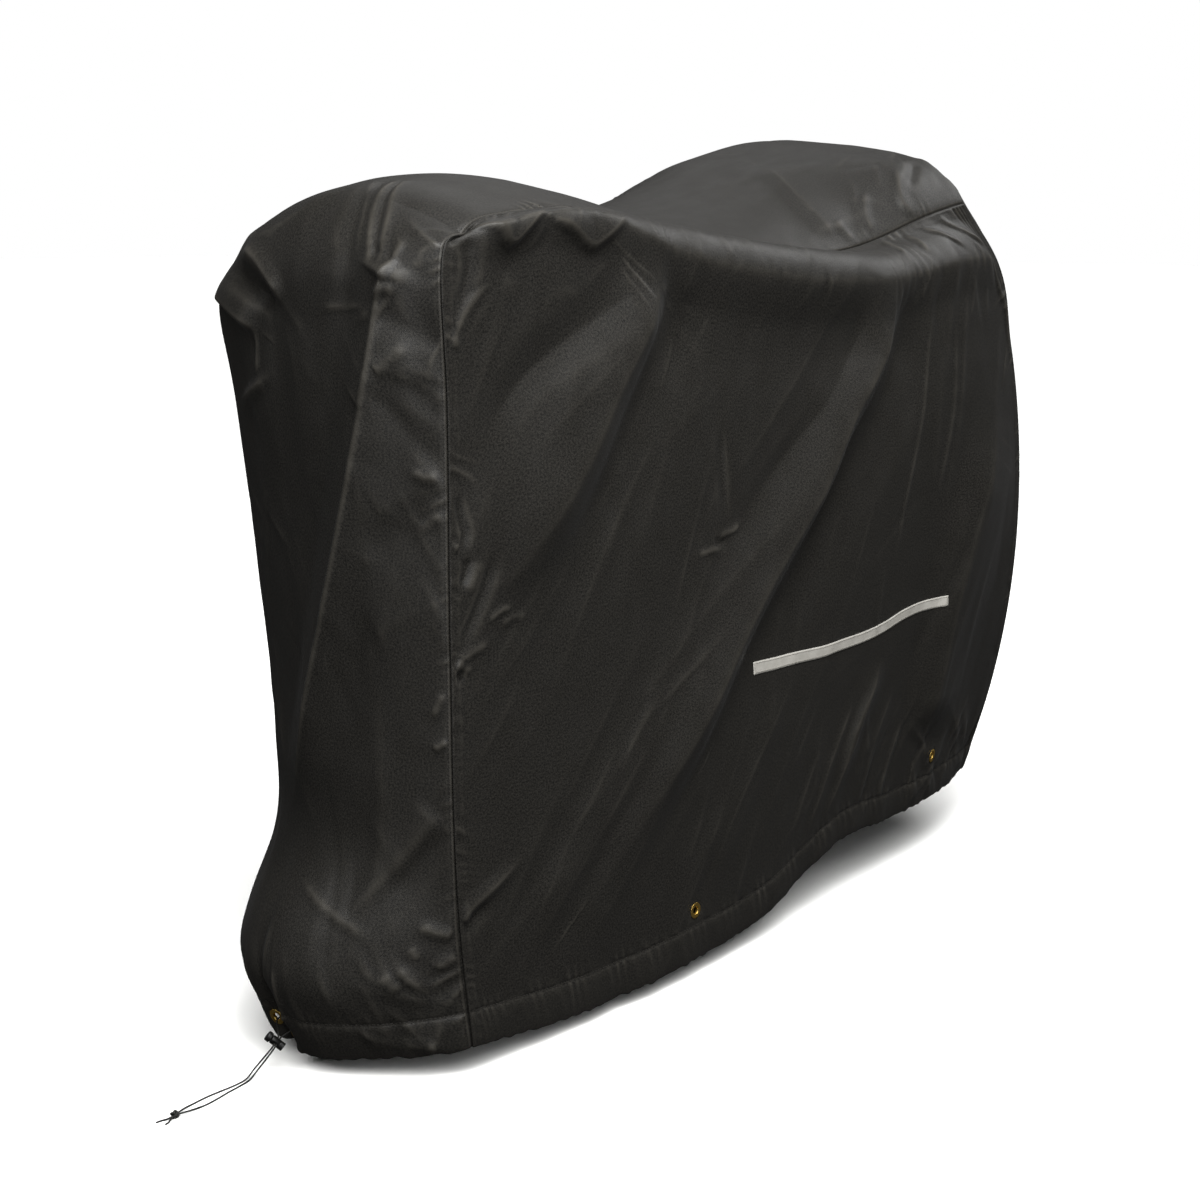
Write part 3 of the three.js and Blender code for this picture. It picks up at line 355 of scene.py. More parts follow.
# Free wrinkles drawn at random: how many, the stretch of the panel they lie in (from, to along each of its
# two directions), the mean lean of their length in degrees with its spread, half their length, reach across
# and height (each from, to)
NEAR_WRINKLES = [
    {"count": 26, "a": (60, 900), "b": (120, 820), "lean": (48, 9), "long": (90, 190), "wide": (24, 46),
     "high": (1.2, 3.0)},
    {"count": 70, "a": (40, 950), "b": (80, 850), "lean": (50, 16), "long": (30, 90), "wide": (8, 20),
     "high": (0.4, 1.3)},
    {"count": 26, "a": (930, 1190), "b": (120, 860), "lean": (76, 10), "long": (60, 150), "wide": (14, 30),
     "high": (0.8, 2.2)},
    {"count": 40, "a": (600, 980), "b": (30, 180), "lean": (62, 16), "long": (26, 60), "wide": (8, 18),
     "high": (0.4, 1.3)},
    {"count": 30, "a": (1000, 1210), "b": (6, 130), "lean": (78, 26), "long": (20, 50), "wide": (8, 18),
     "high": (0.9, 3.0)},
    {"count": 30, "a": (880, 1200), "b": (780, 880), "lean": (84, 18), "long": (20, 46), "wide": (7, 13),
     "high": (0.6, 1.8)},
    {"count": 60, "a": (20, 900), "b": (790, 915), "lean": (40, 40), "long": (14, 40), "wide": (6, 13),
     "high": (0.3, 1.0)},
]
FAR_WRINKLES = [
    {"count": 30, "a": (60, 1150), "b": (120, 820), "lean": (58, 12), "long": (90, 190), "wide": (24, 46),
     "high": (1.2, 3.0)},
    {"count": 110, "a": (40, 1180), "b": (40, 880), "lean": (60, 20), "long": (26, 80), "wide": (8, 20),
     "high": (0.5, 1.5)},
    {"count": 34, "a": (1000, 1210), "b": (6, 130), "lean": (78, 24), "long": (20, 50), "wide": (7, 15),
     "high": (1.5, 4.0)},
]
CENTRE_WRINKLES = [
    {"count": 30, "a": (80, 880), "b": (20, 480), "lean": (12, 10), "long": (70, 170), "wide": (18, 40),
     "high": (0.7, 2.2)},
    {"count": 70, "a": (40, 900), "b": (12, 480), "lean": (20, 24), "long": (22, 70), "wide": (7, 16),
     "high": (0.3, 1.0)},
    {"count": 20, "a": (560, 900), "b": (10, 110), "lean": (60, 26), "long": (18, 44), "wide": (7, 14),
     "high": (0.3, 1.0)},
    {"count": 40, "a": (930, 1860), "b": (20, 480), "lean": (70, 40), "long": (50, 120), "wide": (18, 40),
     "high": (0.4, 1.4)},
    {"count": 16, "a": (1660, 1880), "b": (10, 200), "lean": (30, 40), "long": (18, 44), "wide": (6, 12),
     "high": (0.4, 1.3)},
    {"count": 90, "a": (1900, 2760), "b": (20, 480), "lean": (8, 14), "long": (60, 170), "wide": (14, 36),
     "high": (0.8, 2.8)},
    {"count": 40, "a": (6, 110), "b": (20, 480), "lean": (10, 26), "long": (16, 40), "wide": (6, 12),
     "high": (0.6, 2.0)},
    {"count": 40, "a": (2680, 2784), "b": (20, 480), "lean": (6, 24), "long": (18, 50), "wide": (7, 14),
     "high": (1.0, 3.6)},
]


def place(points):
    """Points in the scene's metres, from millimetres in the cover's own frame: (point - crest) * 0.001."""
    return (np.asarray(points, float) - CREST) * MM


def unit(vectors):
    """Vectors divided by their length."""
    return vectors / np.linalg.norm(vectors, axis=-1, keepdims=True)


def ease(x):
    """0 up to 0, 1 from 1, and 3x^2 - 2x^3 between them."""
    x = np.clip(x, 0, 1)
    return x * x * (3 - 2 * x)


def weights(knots, at):
    """Share of each knot's value in a smooth line through them all: a cubic between two knots, whose slope
    at a knot is the length-weighted mean of the chords beside it. One row for each place."""
    knots = np.asarray(knots, float)
    steps = np.diff(knots)
    own = np.eye(len(knots))
    chords = np.diff(own, axis=0) / steps[:, None]
    before, after = steps[:-1, None], steps[1:, None]
    inner = (chords[:-1] * after + chords[1:] * before) / (before + after)
    slopes = np.vstack([chords[:1], inner, chords[-1:]])
    at = np.clip(at, knots[0], knots[-1])
    cell = np.clip(np.searchsorted(knots, at, side="right") - 1, 0, len(steps) - 1)
    step = steps[cell][..., None]
    f = (at - knots[cell])[..., None] / step
    return (own[cell] * (2 * f**3 - 3 * f**2 + 1) + own[cell + 1] * (3 * f**2 - 2 * f**3)
            + slopes[cell] * step * (f**3 - 2 * f**2 + f) + slopes[cell + 1] * step * (f**3 - f**2))


def ripple(q, scale, seed, terms=6):
    """Uneven wave along q: the mean of sines whose lengths lie round the scale, each with its own phase."""
    rng = np.random.default_rng(seed)
    lengths = scale * rng.uniform(0.6, 1.8, terms)
    phases = rng.uniform(0, 2 * np.pi, terms)
    return np.sin(2 * np.pi * np.asarray(q)[..., None] / lengths + phases).sum(-1) / np.sqrt(terms)


def uneven(kind, wave):
    """A share of a kind, raised by a wave."""
    least, more = UNEVEN[kind]
    return least + more * wave


def net(sections, sign):
    """Stations of a side panel and its points at each station and level, as an array of x, y, z."""
    rows = []
    for row in sections:
        hem, ridge, seam = row["z"]
        z = [hem + (ridge - hem) * share for share in LEVEL_SHARE] + [ridge, seam]
        rows.append(np.stack([row["x"], sign * np.array(row["out"]), z], axis=-1))
    return [row["u"] for row in sections], np.array(rows, float)


def net_point(stations, points, u, v):
    """Point at shares u, v of a side panel: smooth along the stations, then up the levels, and drawn in
    towards the panel's middle at its front top corner, by in * (1 - distance / reach)^2."""
    along = weights(stations, u) @ points.reshape(len(stations), -1)
    levels = along.reshape(*np.shape(u), len(LEVELS), 3)
    flat = np.einsum("...l,...lc->...c", weights(LEVELS, v), levels)
    off = np.hypot(u * LENGTH, (1 - v) * HEIGHT)
    inward = ROUND_CORNER["in"] * np.clip(1 - off / ROUND_CORNER["reach"], 0, 1) ** 2
    return flat + inward[..., None] * np.array([1, 0, -1]) / np.sqrt(2)


def sag(along, up):
    """How far the cloth has slipped down its own surface round the tape, fading above and below it."""
    knots, drops = np.array(TAPE_SAG, float).T
    middle = (TAPE["low"] + TAPE["high"]) / 2
    return (weights(knots, along) @ drops) * np.exp(-((up - middle) / SAG_REACH) ** 2)


def tent(away, reach, soft=CREASE["soft"]):
    """Profile of a crease: straight flanks from 1 at the crest down to 0 at the reach, the crest rounded
    over a soft width and the foot over a share of the reach."""
    fall = 1 - (np.hypot(away, soft) - soft) / reach
    return (fall + np.hypot(fall, CREASE["foot"])) / 2


def from_path(path, a, b):
    """Distance of each point from a bent line, its side (1 is left of the way it runs) and how far along
    the line its nearest place lies."""
    best = np.full(np.shape(a), np.inf)
    side = np.ones(np.shape(a))
    run = np.zeros(np.shape(a))
    start = 0.0
    for (x, y), (dx, dy) in zip(path, np.diff(path, axis=0)):
        length = np.hypot(dx, dy)
        share = np.clip(((a - x) * dx + (b - y) * dy) / length**2, 0, 1)
        away = np.hypot(a - x - share * dx, b - y - share * dy)
        nearer = away < best
        best = np.where(nearer, away, best)
        side = np.where(nearer, np.sign(dx * (b - y) - dy * (a - x)), side)
        run = np.where(nearer, start + share * length, run)
        start += length
    return best, side, run, start


def fold_rise(folds, a, b):
    """Rise of the listed folds: height * profile(distance from a smooth path), where the profile is a tent,
    or a bell exp(-(distance / reach)^2) for a round fold, with a reach for each side of the path."""
    total = np.zeros(np.shape(a))
    for fold in folds:
        corners = np.array(fold["path"], float)
        knots = np.arange(len(corners))
        path = weights(knots, np.linspace(0, knots[-1], 3 * knots[-1] + 1)) @ corners
        far = 3 * max(fold["wide"]) * fold.get("grow", 1)
        low, high = path.min(axis=0) - far, path.max(axis=0) + far
        close = (a > low[0]) & (a < high[0]) & (b > low[1]) & (b < high[1])
        away, side, run, length = from_path(path, a[close], b[close])
        reach = np.where(side > 0, *fold["wide"]) * (1 + (fold.get("grow", 1) - 1) * run / length)
        rise_in, die_out = fold.get("fade", CREASE["fade"])
        ends = ease(run / (rise_in * length)) * ease((length - run) / (die_out * length))
        if fold.get("round"):
            profile = np.exp(-((away / reach) ** 2))
        else:
            profile = tent(away, reach, fold.get("soft", CREASE["soft"]))
            profile *= CREASE["left"] + (1 - CREASE["left"]) * ends
            profile *= np.exp(-((away / (CREASE["spent"] * reach)) ** 4))
        total[close] += fold["high"] * profile
    return total


def draw_wrinkles(groups, seed):
    """Columns of the free wrinkles of a panel: middle a, b, cosine and sine of the lean, half length, reach,
    height, bend and how much sharper one side is."""
    rng = np.random.default_rng(seed)
    rows = []
    for group in groups:
        n = group["count"]
        lean = np.radians(rng.normal(*group["lean"], n))
        rows.append(np.stack([
            rng.uniform(*group["a"], n), rng.uniform(*group["b"], n), np.cos(lean), np.sin(lean),
            rng.uniform(*group["long"], n), rng.uniform(*group["wide"], n),
            rng.uniform(*group["high"], n) * rng.choice([1, 1, -0.8], n),
            rng.normal(0, 0.25, n), rng.uniform(0.45, 1.0, n),
        ], axis=-1))
    return np.concatenate(rows)


def free_wrinkles(rows, a, b):
    """Rise of the free wrinkles: height * exp(-(s / half length)^2) * tent(d), with s along and d across
    each one, its line bent by s^2 and its reach shorter on the sharp side."""
    total = np.zeros(np.shape(a))
    for x, y, cosine, sine, long, wide, high, bend, sharp in rows:
        far = CREASE["spent"] * long
        close = (np.abs(a - x) < far) & (np.abs(b - y) < far)
        da = a[close] - x
        db = b[close] - y
        s = (da * cosine + db * sine) / long
        d = -da * sine + db * cosine - bend * wide * s**2
        reach = np.where(d > 0, wide, wide * sharp)
        total[close] += high * np.exp(-(s**2) - (d / (CREASE["spent"] * reach)) ** 4) * tent(d, reach)
    return total


def puckers(q, d, seed, strength, slant=PUCKER["slant"]):
    """Gathers of cloth held shorter by a seam: a wave along the seam with narrow crests, leaning as it
    leaves the seam, growing over a few millimetres and dying out after a reach that differs from one
    stretch of the seam to the next."""
    d = np.maximum(d, 0)
    drift = PUCKER["drift"] * ripple(q, PUCKER["drift_over"], seed)
    phase = 2 * np.pi * ((q + slant * d) / PUCKER["pitch"] + drift)
    crest = 1 - 2 * np.sqrt(np.sin(phase / 2) ** 2 + PUCKER["sharp"])
    high = uneven("pucker", np.clip(ripple(q, PUCKER["uneven_over"], seed + 1), 0, None))
    far = uneven("pucker_reach", np.clip(ripple(q, PUCKER["reach_over"], seed + 2), 0, 1.6))
    grown = 1 - np.exp(-d / PUCKER["grown"])
    return strength * high * crest * grown * np.exp(-((d / (PUCKER["reach"] * far)) ** 1.4))


def hem_shape(q, up, seed, ends):
    """Rise at the hem: a channel swelled between the edge and its stitch line, gathered along the line, and
    a slow wave of the whole hem; ends fades it at the seams."""
    channel = HEM["channel"]
    share = np.clip(up / channel, 0, 1)
    pillow = HEM["pillow"] * np.sqrt(np.sin(np.pi * share) + 1e-6)
    line = HEM["line_deep"] * np.exp(-((up - channel) / HEM["line_wide"]) ** 2)
    drift = HEM["drift"] * ripple(q, HEM["drift_over"], seed)
    phase = 2 * np.pi * ((q + HEM["slant"] * up) / HEM["pitch"] + drift)
    crest = 1 - 2 * np.sqrt(np.sin(phase / 2) ** 2 + HEM["sharp"])
    gather = HEM["gather"] * uneven("gather", np.abs(ripple(q, HEM["gather_over"], seed + 1))) * crest
    reach = np.where(up > channel, HEM["above"], HEM["below"])
    round_line = np.exp(-(((up - channel) / reach) ** 2))
    slow = HEM["slow"] * ripple(q, HEM["slow_over"], seed + 2) * np.exp(-((up / HEM["slow_tall"]) ** 2))
    return pillow - line + ends * (gather * round_line + slow)


def edge_lift(q, up, seed, ends):
    """How far a hem's lower edge is drawn up its own surface, uneven along the hem."""
    drawn = HEM["edge_up"] + ends * HEM["edge_wave"] * ripple(q, HEM["edge_over"], seed)
    return drawn * np.exp(-up / HEM["edge_tall"])


class Panel:
    """A cut panel of a size. plain(a, b) gives points of the smooth surface, rise(a, b) how far the cloth
    stands off it, and outward is 1 or -1, so that outward * (d/da x d/db) points out of the cover. Its
    normals are taken over a step of the smooth surface, or a fine step of the creased one."""

    STEP = 4.0
    FINE_STEP = 1.0

    def __init__(self, size, plain, rise, outward):
        self.size = size
        self.plain = plain
        self.rise = rise
        self.outward = outward
        self.seats = []

    def across(self, surface, a, b, step):
        """Outward unit normals of a surface, from its differences over a small step."""
        da = surface(a + step, b) - surface(a - step, b)
        db = surface(a, b + step) - surface(a, b - step)
        return self.outward * unit(np.cross(da, db))

    def skin(self, a, b):
        """Outer face of the cloth: plain point + rise * plain normal, drawn flat round each eyelet."""
        a = np.clip(a, 0, self.size[0])
        b = np.clip(b, 0, self.size[1])
        points = self.plain(a, b) + self.rise(a, b)[..., None] * self.across(self.plain, a, b, self.STEP)
        for middle, normal in self.seats:
            off = points - middle
            span = EYELET_FLAT["none"] - EYELET_FLAT["full"]
            keep = ease((np.linalg.norm(off, axis=-1) - EYELET_FLAT["full"]) / span)
            points = points - ((1 - keep) * (off @ normal))[..., None] * normal
        return points

    def lifted(self, a, b, lift):
        """Points a lift off the cloth's outer face, along its true normal."""
        return self.skin(a, b) + np.asarray(lift)[..., None] * self.across(self.skin, a, b, self.FINE_STEP)


def side_panel(sections, sign, creases, groups, seed, slips):
    """A side panel of the cover, in millimetres along and up; slips says that it sags round its tape."""
    stations, points = net(sections, sign)
    rows = draw_wrinkles(groups, seed)

    def plain(a, b):
        a, b = np.broadcast_arrays(np.asarray(a, float), np.asarray(b, float))
        ends = ease(np.minimum(a, LENGTH - a) / SEAM_FADE)
        up = b + edge_lift(a, b, seed, ends)
        if slips:
            up = up - sag(a, b)
        return net_point(stations, points, a / LENGTH, up / HEIGHT)

    def rise(a, b):
        sides = np.minimum(a, LENGTH - a)
        top = HEIGHT - b
        seams = np.minimum(sides, top)
        main = fold_rise(SIDE_FOLDS, a, b) * ease(np.minimum(seams, b) / FOLD_FADE)
        free = (fold_rise(creases, a, b) + free_wrinkles(rows, a, b)) * ease(seams / SEAM_FADE)
        run = np.where(sides < top, b, a)
        felled = SEAM["welt"] + SEAM["wander"] * ripple(run, SEAM["wander_over"], seed + 50)
        high = SEAM["welt_high"] * uneven("welt", np.abs(ripple(run, SEAM["uneven_over"], seed + 60)))
        welt = high * ease(seams / SEAM["welt_start"]) * (1 - ease((seams - felled) / SEAM["welt_edge"]))
        corner = ease(seams / PUCKER["start"]) * ease(np.hypot(sides, top) / CORNER_FADE)
        gathers = corner * (puckers(b, a, seed + 10, GATHERS["front"])
                            + puckers(b, LENGTH - a, seed + 20, GATHERS["rear"])
                            + puckers(a, top, seed + 30, GATHERS["top"], slant=PUCKER["top_slant"]))
        hem = hem_shape(a, b, seed + 40, ease(sides / SEAM_FADE))
        return main + free + welt + gathers + hem * ease(seams / HEM["start"])

    return Panel((LENGTH, HEIGHT), plain, rise, -sign)


def centre_panel(groups, seed):
    """The centre panel, in millimetres round (t times 930) and across from the near seam."""
    near_stations, near_points = net(NEAR_SECTIONS, -1)
    far_stations, far_points = net(FAR_SECTIONS, 1)
    table = np.array(MIDDLE_SECTIONS, float)
    rows = draw_wrinkles(groups, seed)

    def plain(a, b):
        a, b = np.broadcast_arrays(np.asarray(a, float), np.asarray(b, float))
        ends = ease(np.minimum(b, WIDTH - b) / SEAM_FADE)
        a = a + edge_lift(b, a, seed, ends) - edge_lift(b, 3 * HEIGHT - a, seed + 1, ends)
        t = np.clip(a / HEIGHT, 0, 3)
        s = np.clip(b / WIDTH, 0, 1)
        u = np.clip(t - 1, 0, 1)
        v = np.where(t < 1, t, np.minimum(3 - t, 1))
        near = net_point(near_stations, near_points, u, v)
        far = net_point(far_stations, far_points, u, v)
        middle = weights(table[:, 0], t) @ table[:, 1:]
        swell = 1 - np.abs(2 * s - 1) ** middle[..., 3]
        straight = near + (far - near) * s[..., None]
        return straight + (middle[..., :3] - (near + far) / 2) * swell[..., None]

    def rise(a, b):
        seams = np.minimum(b, WIDTH - b)
        hems = np.minimum(a, 3 * HEIGHT - a)
        main = fold_rise(CENTRE_FOLDS, a, b) * ease(np.minimum(seams, hems) / FOLD_FADE)
        free = (fold_rise(CENTRE_CREASES, a, b) + free_wrinkles(rows, a, b)) * ease(seams / SEAM_FADE)
        ditch = -SEAM["ditch_high"] * np.exp(-((seams - SEAM["ditch"]) / SEAM["ditch_wide"]) ** 2)
        sunk = np.exp(-((seams - SEAM["stitch_at"]) / SEAM["stitch_wide"]) ** 2)
        ditch -= SEAM["stitch_deep"] * sunk
        corners = ease(np.abs(a - HEIGHT) / CORNER_FADE) * ease(np.abs(a - 2 * HEIGHT) / CORNER_FADE)
        gathers = corners * (puckers(a, b, seed + 10, GATHERS["near"])
                             + puckers(a, WIDTH - b, seed + 20, GATHERS["far"]))
        ends = ease(seams / SEAM_FADE)
        hem = hem_shape(b, a, seed + 40, ends) + hem_shape(b, 3 * HEIGHT - a, seed + 50, ends)
        dip = np.exp(-(((b - PINCH["across"]) / PINCH["wide"]) ** 2) - (a / PINCH["tall"]) ** 2)
        return main + free + ditch + gathers + hem * ease(seams / HEM["start"]) - PINCH["deep"] * dip

    return Panel((3 * HEIGHT, WIDTH), plain, rise, 1)


def graded(breaks, step):
    """Grid lines through every break (place, fine spacing there): between two breaks the spacing grows from
    each of them up to the step, and the lines share the stretch evenly by the integral of 1 / spacing."""
    lines = [breaks[0][0]]
    for (low, fine_low), (high, fine_high) in zip(breaks, breaks[1:]):
        x = np.linspace(low, high, 500)
        grow = GRID["grow"]
        spacing = np.minimum(step, np.minimum(fine_low + grow * (x - low), fine_high + grow * (high - x)))
        count = np.concatenate([[0], np.cumsum(np.diff(x) * 2 / (spacing[1:] + spacing[:-1]))])
        cells = max(1, round(count[-1]))
        lines.extend(np.interp(np.linspace(0, count[-1], cells + 1)[1:], count, x))
    return np.array(lines)


def quads_of(rows, cols, outward=1):
    """Corner numbers of the cells of a grid of rows by cols points."""
    first = (np.arange(rows - 1)[:, None] * cols + np.arange(cols - 1)).ravel()
    quads = np.stack([first, first + cols, first + cols + 1, first + 1], axis=-1)
    return quads if outward > 0 else quads[:, ::-1]


def new_object(name, mesh, uv=None):
    """Smooth-shaded object at the origin with a mesh; uv is given for each point."""
    if uv is not None:
        corners = np.empty(len(mesh.loops), np.int32)
        mesh.loops.foreach_get("vertex_index", corners)
        layer = mesh.uv_layers.new(name="cloth")
        layer.uv.foreach_set("vector", uv[corners].astype(np.float32).ravel())
    mesh.shade_smooth()
    made = bpy.data.objects.new(name, mesh)
    bpy.context.scene.collection.objects.link(made)
    return made


def make_object(name, points, faces, uv=None):
    """Object from points in metres and faces of equal numbers of corners."""
    mesh = bpy.data.meshes.new(name)
    mesh.from_pydata(points, [], faces)
    mesh.update()
    return new_object(name, mesh, uv)


def polygon_object(name, points, corners, totals, uv, wear_and_highlight):
    """Object from faces of differing numbers of corners: corners is one run of point numbers and totals how
    many of them each face takes. The last argument, given for each point, is how much lighter the cloth is
    painted there: partly rubbed wear, partly a painted highlight on crests."""
    mesh = bpy.data.meshes.new(name)
    mesh.vertices.add(len(points))
    mesh.vertices.foreach_set("co", points.astype(np.float32).ravel())
    mesh.loops.add(len(corners))
    mesh.loops.foreach_set("vertex_index", corners.astype(np.int32))
    mesh.polygons.add(len(totals))
    mesh.polygons.foreach_set("loop_start", (np.cumsum(totals) - totals).astype(np.int32))
    mesh.update(calc_edges=True)
    mesh.attributes.new("wear_and_highlight", "FLOAT", "POINT").data.foreach_set("value", wear_and_highlight.astype(np.float32))
    return new_object(name, mesh, uv)


def finish_piece(piece, material, replaced=()):
    """Gives a piece its material and its body, and hides the plain solids it stands for."""
    piece.data.materials.clear()
    piece.data.materials.append(material)
    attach(piece, "root")
    if replaced:
        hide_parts(*replaced)
    return piece


def crest_wear_and_highlight(rise):
    """How much each place of a fine lattice stands above those two steps away, from 0 to 1: there the cloth
    is painted lighter, partly as rubbed wear and partly as a painted highlight along the crest."""
    wide = np.pad(rise, 2, mode="edge")
    around = (wide[4:, 2:-2] + wide[:-4, 2:-2] + wide[2:-2, 4:] + wide[2:-2, :-4]) / 4
    return np.clip((rise - around) / CREST_LIGHT_RISE, 0, 1)


def turn_of(rise, a_fine, b_fine, size):
    """How much the cloth turns inside each cell that spans a number of fine steps: the most that the middle
    of a side or midline lies off its chord, divided by the chord's length."""
    half = size // 2

    def off(values, places):
        chord = places[size::size] - places[:-1:size]
        return np.abs(values[half::size] - (values[:-1:size] + values[size::size]) / 2) / chord[:, None]

    along = off(rise, a_fine)
    across = off(rise.T, b_fine).T
    along = np.maximum.reduce([along[:, :-1:size], along[:, half::size], along[:, size::size]])
    across = np.maximum.reduce([across[:-1:size], across[half::size], across[size::size]])
    return np.maximum(along, across)


def outline_of(corner_i, corner_j, size):
    """Lattice places round cells of a size, four times that many for each, in order."""
    step = np.arange(size)
    ring_i = np.concatenate([step, np.full(size, size), size - step, np.zeros(size, int)])
    ring_j = np.concatenate([np.zeros(size, int), step, np.full(size, size), size - step])
    return corner_i[:, None] + ring_i, corner_j[:, None] + ring_j


def cloth_piece(name, panel, a_lines, b_lines, holes, shares):
    """A panel as a thin closed sheet. Its outer face is the skin on the grid lines, with a hole at each
    eyelet; cells where the cloth turns most are split in four, and the sharpest of these again, and a cell
    beside a split one takes its extra corners. Its inner face lies a cloth's thickness behind the grid."""
    rows, cols = len(a_lines), len(b_lines)
    a_fine = np.interp(np.arange((rows - 1) * SPLIT + 1) / SPLIT, np.arange(rows), a_lines)
    b_fine = np.interp(np.arange((cols - 1) * SPLIT + 1) / SPLIT, np.arange(cols), b_lines)
    a, b = np.meshgrid(a_fine, b_fine, indexing="ij")
    rise = panel.rise(a, b)
    shape = a.shape
    half = SPLIT // 2

    # Eyelet holes: the grid point in the middle goes, with the four cells round it. None is split near it
    whole = np.zeros((rows - 1, cols - 1), bool)
    open_cells = np.zeros((rows - 1, cols - 1), bool)
    rings = []
    for hole_a, hole_b in holes:
        i = int(np.argmin(np.abs(a_lines - hole_a)))
        j = int(np.argmin(np.abs(b_lines - hole_b)))
        whole[i - 3:i + 3, max(j - 3, 0):j + 3] = True
        open_cells[i - 1:i + 1, j - 1:j + 1] = True
        rings.append([((i + p) * SPLIT) * shape[1] + (j + q) * SPLIT
                      for p in (-1, 0, 1) for q in (-1, 0, 1) if (p, q) != (0, 0)])

    turn = turn_of(rise, a_fine, b_fine, SPLIT)
    split = (turn > np.quantile(turn, 1 - shares[0])) & ~whole
    finer = turn_of(rise, a_fine, b_fine, half)
    inside = np.kron(split, np.ones((2, 2), bool))
    finer_split = inside & (finer > np.quantile(finer[inside], 1 - shares[1]))

    used = np.zeros(shape, bool)
    used[::SPLIT, ::SPLIT] = True
    for cells, size in ((split, SPLIT), (finer_split, half)):
        i, j = np.nonzero(cells)
        for p in (0, size // 2, size):
            for q in (0, size // 2, size):
                used[i * size + p, j * size + q] = True

    loops = []
    totals = []

    def add_faces(rings_of, keep):
        """Takes rows of point numbers and which of them count, wound outwards for a left-handed panel."""
        if panel.outward < 0:
            rings_of, keep = rings_of[:, ::-1], keep[:, ::-1]
        loops.append(rings_of[keep])
        totals.append(keep.sum(axis=1))

    plain_cells = ~split & ~open_cells
    finest = np.kron(finer_split, np.ones((2, 2), bool))
    leaves = [(plain_cells, SPLIT), (inside & ~finer_split, half), (finest, 1)]
    for cells, size in leaves:
        i, j = np.nonzero(cells)
        ring_i, ring_j = outline_of(i * size, j * size, size)
        add_faces(ring_i * shape[1] + ring_j, used[ring_i, ring_j])

    # Inner face on the grid lines, wound the other way, and the rim that joins the two
    offset = a.size
    i, j = np.nonzero(~open_cells)
    inner = [offset + (i + p) * cols + j + q for p, q in ((0, 0), (0, 1), (1, 1), (1, 0))]
    add_faces(np.stack(inner, axis=-1), np.ones((len(i), 4), bool))
    solid = np.pad(~open_cells, 1)
    for di, dj, start, way in ((0, -1, (0, 0), (1, 0)), (1, 0, (1, 0), (0, 1)),
                               (0, 1, (1, 1), (-1, 0)), (-1, 0, (0, 1), (0, -1))):
        i, j = np.nonzero(~open_cells & ~solid[1 + di:rows + di, 1 + dj:cols + dj])
        from_i, from_j = i + start[0], j + start[1]
        step = np.arange(SPLIT, -1, -1)
        rim_i = from_i[:, None] * SPLIT + step * way[0]
        rim_j = from_j[:, None] * SPLIT + step * way[1]
        first = offset + from_i * cols + from_j
        last = offset + (from_i + way[0]) * cols + from_j + way[1]
        ring = np.column_stack([rim_i * shape[1] + rim_j, first, last])
        keep = np.column_stack([used[rim_i, rim_j], np.ones((len(i), 2), bool)])
        add_faces(ring, keep)

    outer_points = panel.skin(a[used], b[used])
    where = np.full(a.size, -1)
    where[np.flatnonzero(used)] = np.arange(used.sum())
    for ring, (middle, normal) in zip(rings, panel.seats):
        off = outer_points[where[ring]] - middle
        flat = off - (off @ normal)[:, None] * normal
        outer_points[where[ring]] = middle + unit(flat) * EYELET["cloth_hole"]
    base_a, base_b = a[::SPLIT, ::SPLIT], b[::SPLIT, ::SPLIT]
    base = outer_points[where[(np.arange(rows)[:, None] * SPLIT * shape[1] + np.arange(cols) * SPLIT)]]
    inner_points = base - CLOTH * panel.across(panel.skin, base_a, base_b, panel.STEP)

    points = np.concatenate([outer_points, inner_points.reshape(-1, 3)])
    number = np.concatenate([where, used.sum() + np.arange(rows * cols)])
    corners = number[np.concatenate(loops)]
    kept, corners = np.unique(corners, return_inverse=True)
    # Share painted lighter at each point: partly rubbed wear, partly a painted highlight on crests; none on
    # the inner face
    wear_and_highlight = np.concatenate([crest_wear_and_highlight(rise)[used], np.zeros(rows * cols)])
    uv = np.concatenate([np.stack([a[used], b[used]], axis=-1),
                         np.stack([base_a.ravel(), base_b.ravel()], axis=-1)]) * MM
    return polygon_object(name, place(points[kept]), corners, np.concatenate(totals), uv[kept], wear_and_highlight[kept])


def close_up(piece):
    """Merges the doubles of a closed mesh and turns its faces outwards."""
    mesh = bmesh.new()
    mesh.from_mesh(piece.data)
    bmesh.ops.remove_doubles(mesh, verts=mesh.verts, dist=1e-6)
    bmesh.ops.dissolve_degenerate(mesh, edges=mesh.edges, dist=1e-7)
    bmesh.ops.recalc_face_normals(mesh, faces=mesh.faces)
    mesh.to_mesh(piece.data)
    mesh.free()
    return piece


def turned(name, profile, axis, at, sides):
    """A profile of (radius, height) carried round an axis through a point: at + height * axis
    + radius * (cos * side + sin * front)."""
    profile = np.array(profile, float)
    side = unit(np.cross(axis, (0.31, 0.42, 0.85)))
    front = np.cross(axis, side)
    turn = np.linspace(0, 2 * np.pi, sides + 1)
    ring = np.cos(turn)[:, None] * side + np.sin(turn)[:, None] * front
    points = at + profile[:, None, 1:] * axis + profile[:, None, :1] * ring
    return close_up(make_object(name, place(points.reshape(-1, 3)), quads_of(len(profile), sides + 1)))


def arc(centre, radius, start, stop, count):
    """Points on a round stretch of a profile, angles in degrees."""
    angle = np.radians(np.linspace(start, stop, count))
    return [(centre[0] + radius * np.cos(x), centre[1] + radius * np.sin(x)) for x in angle]


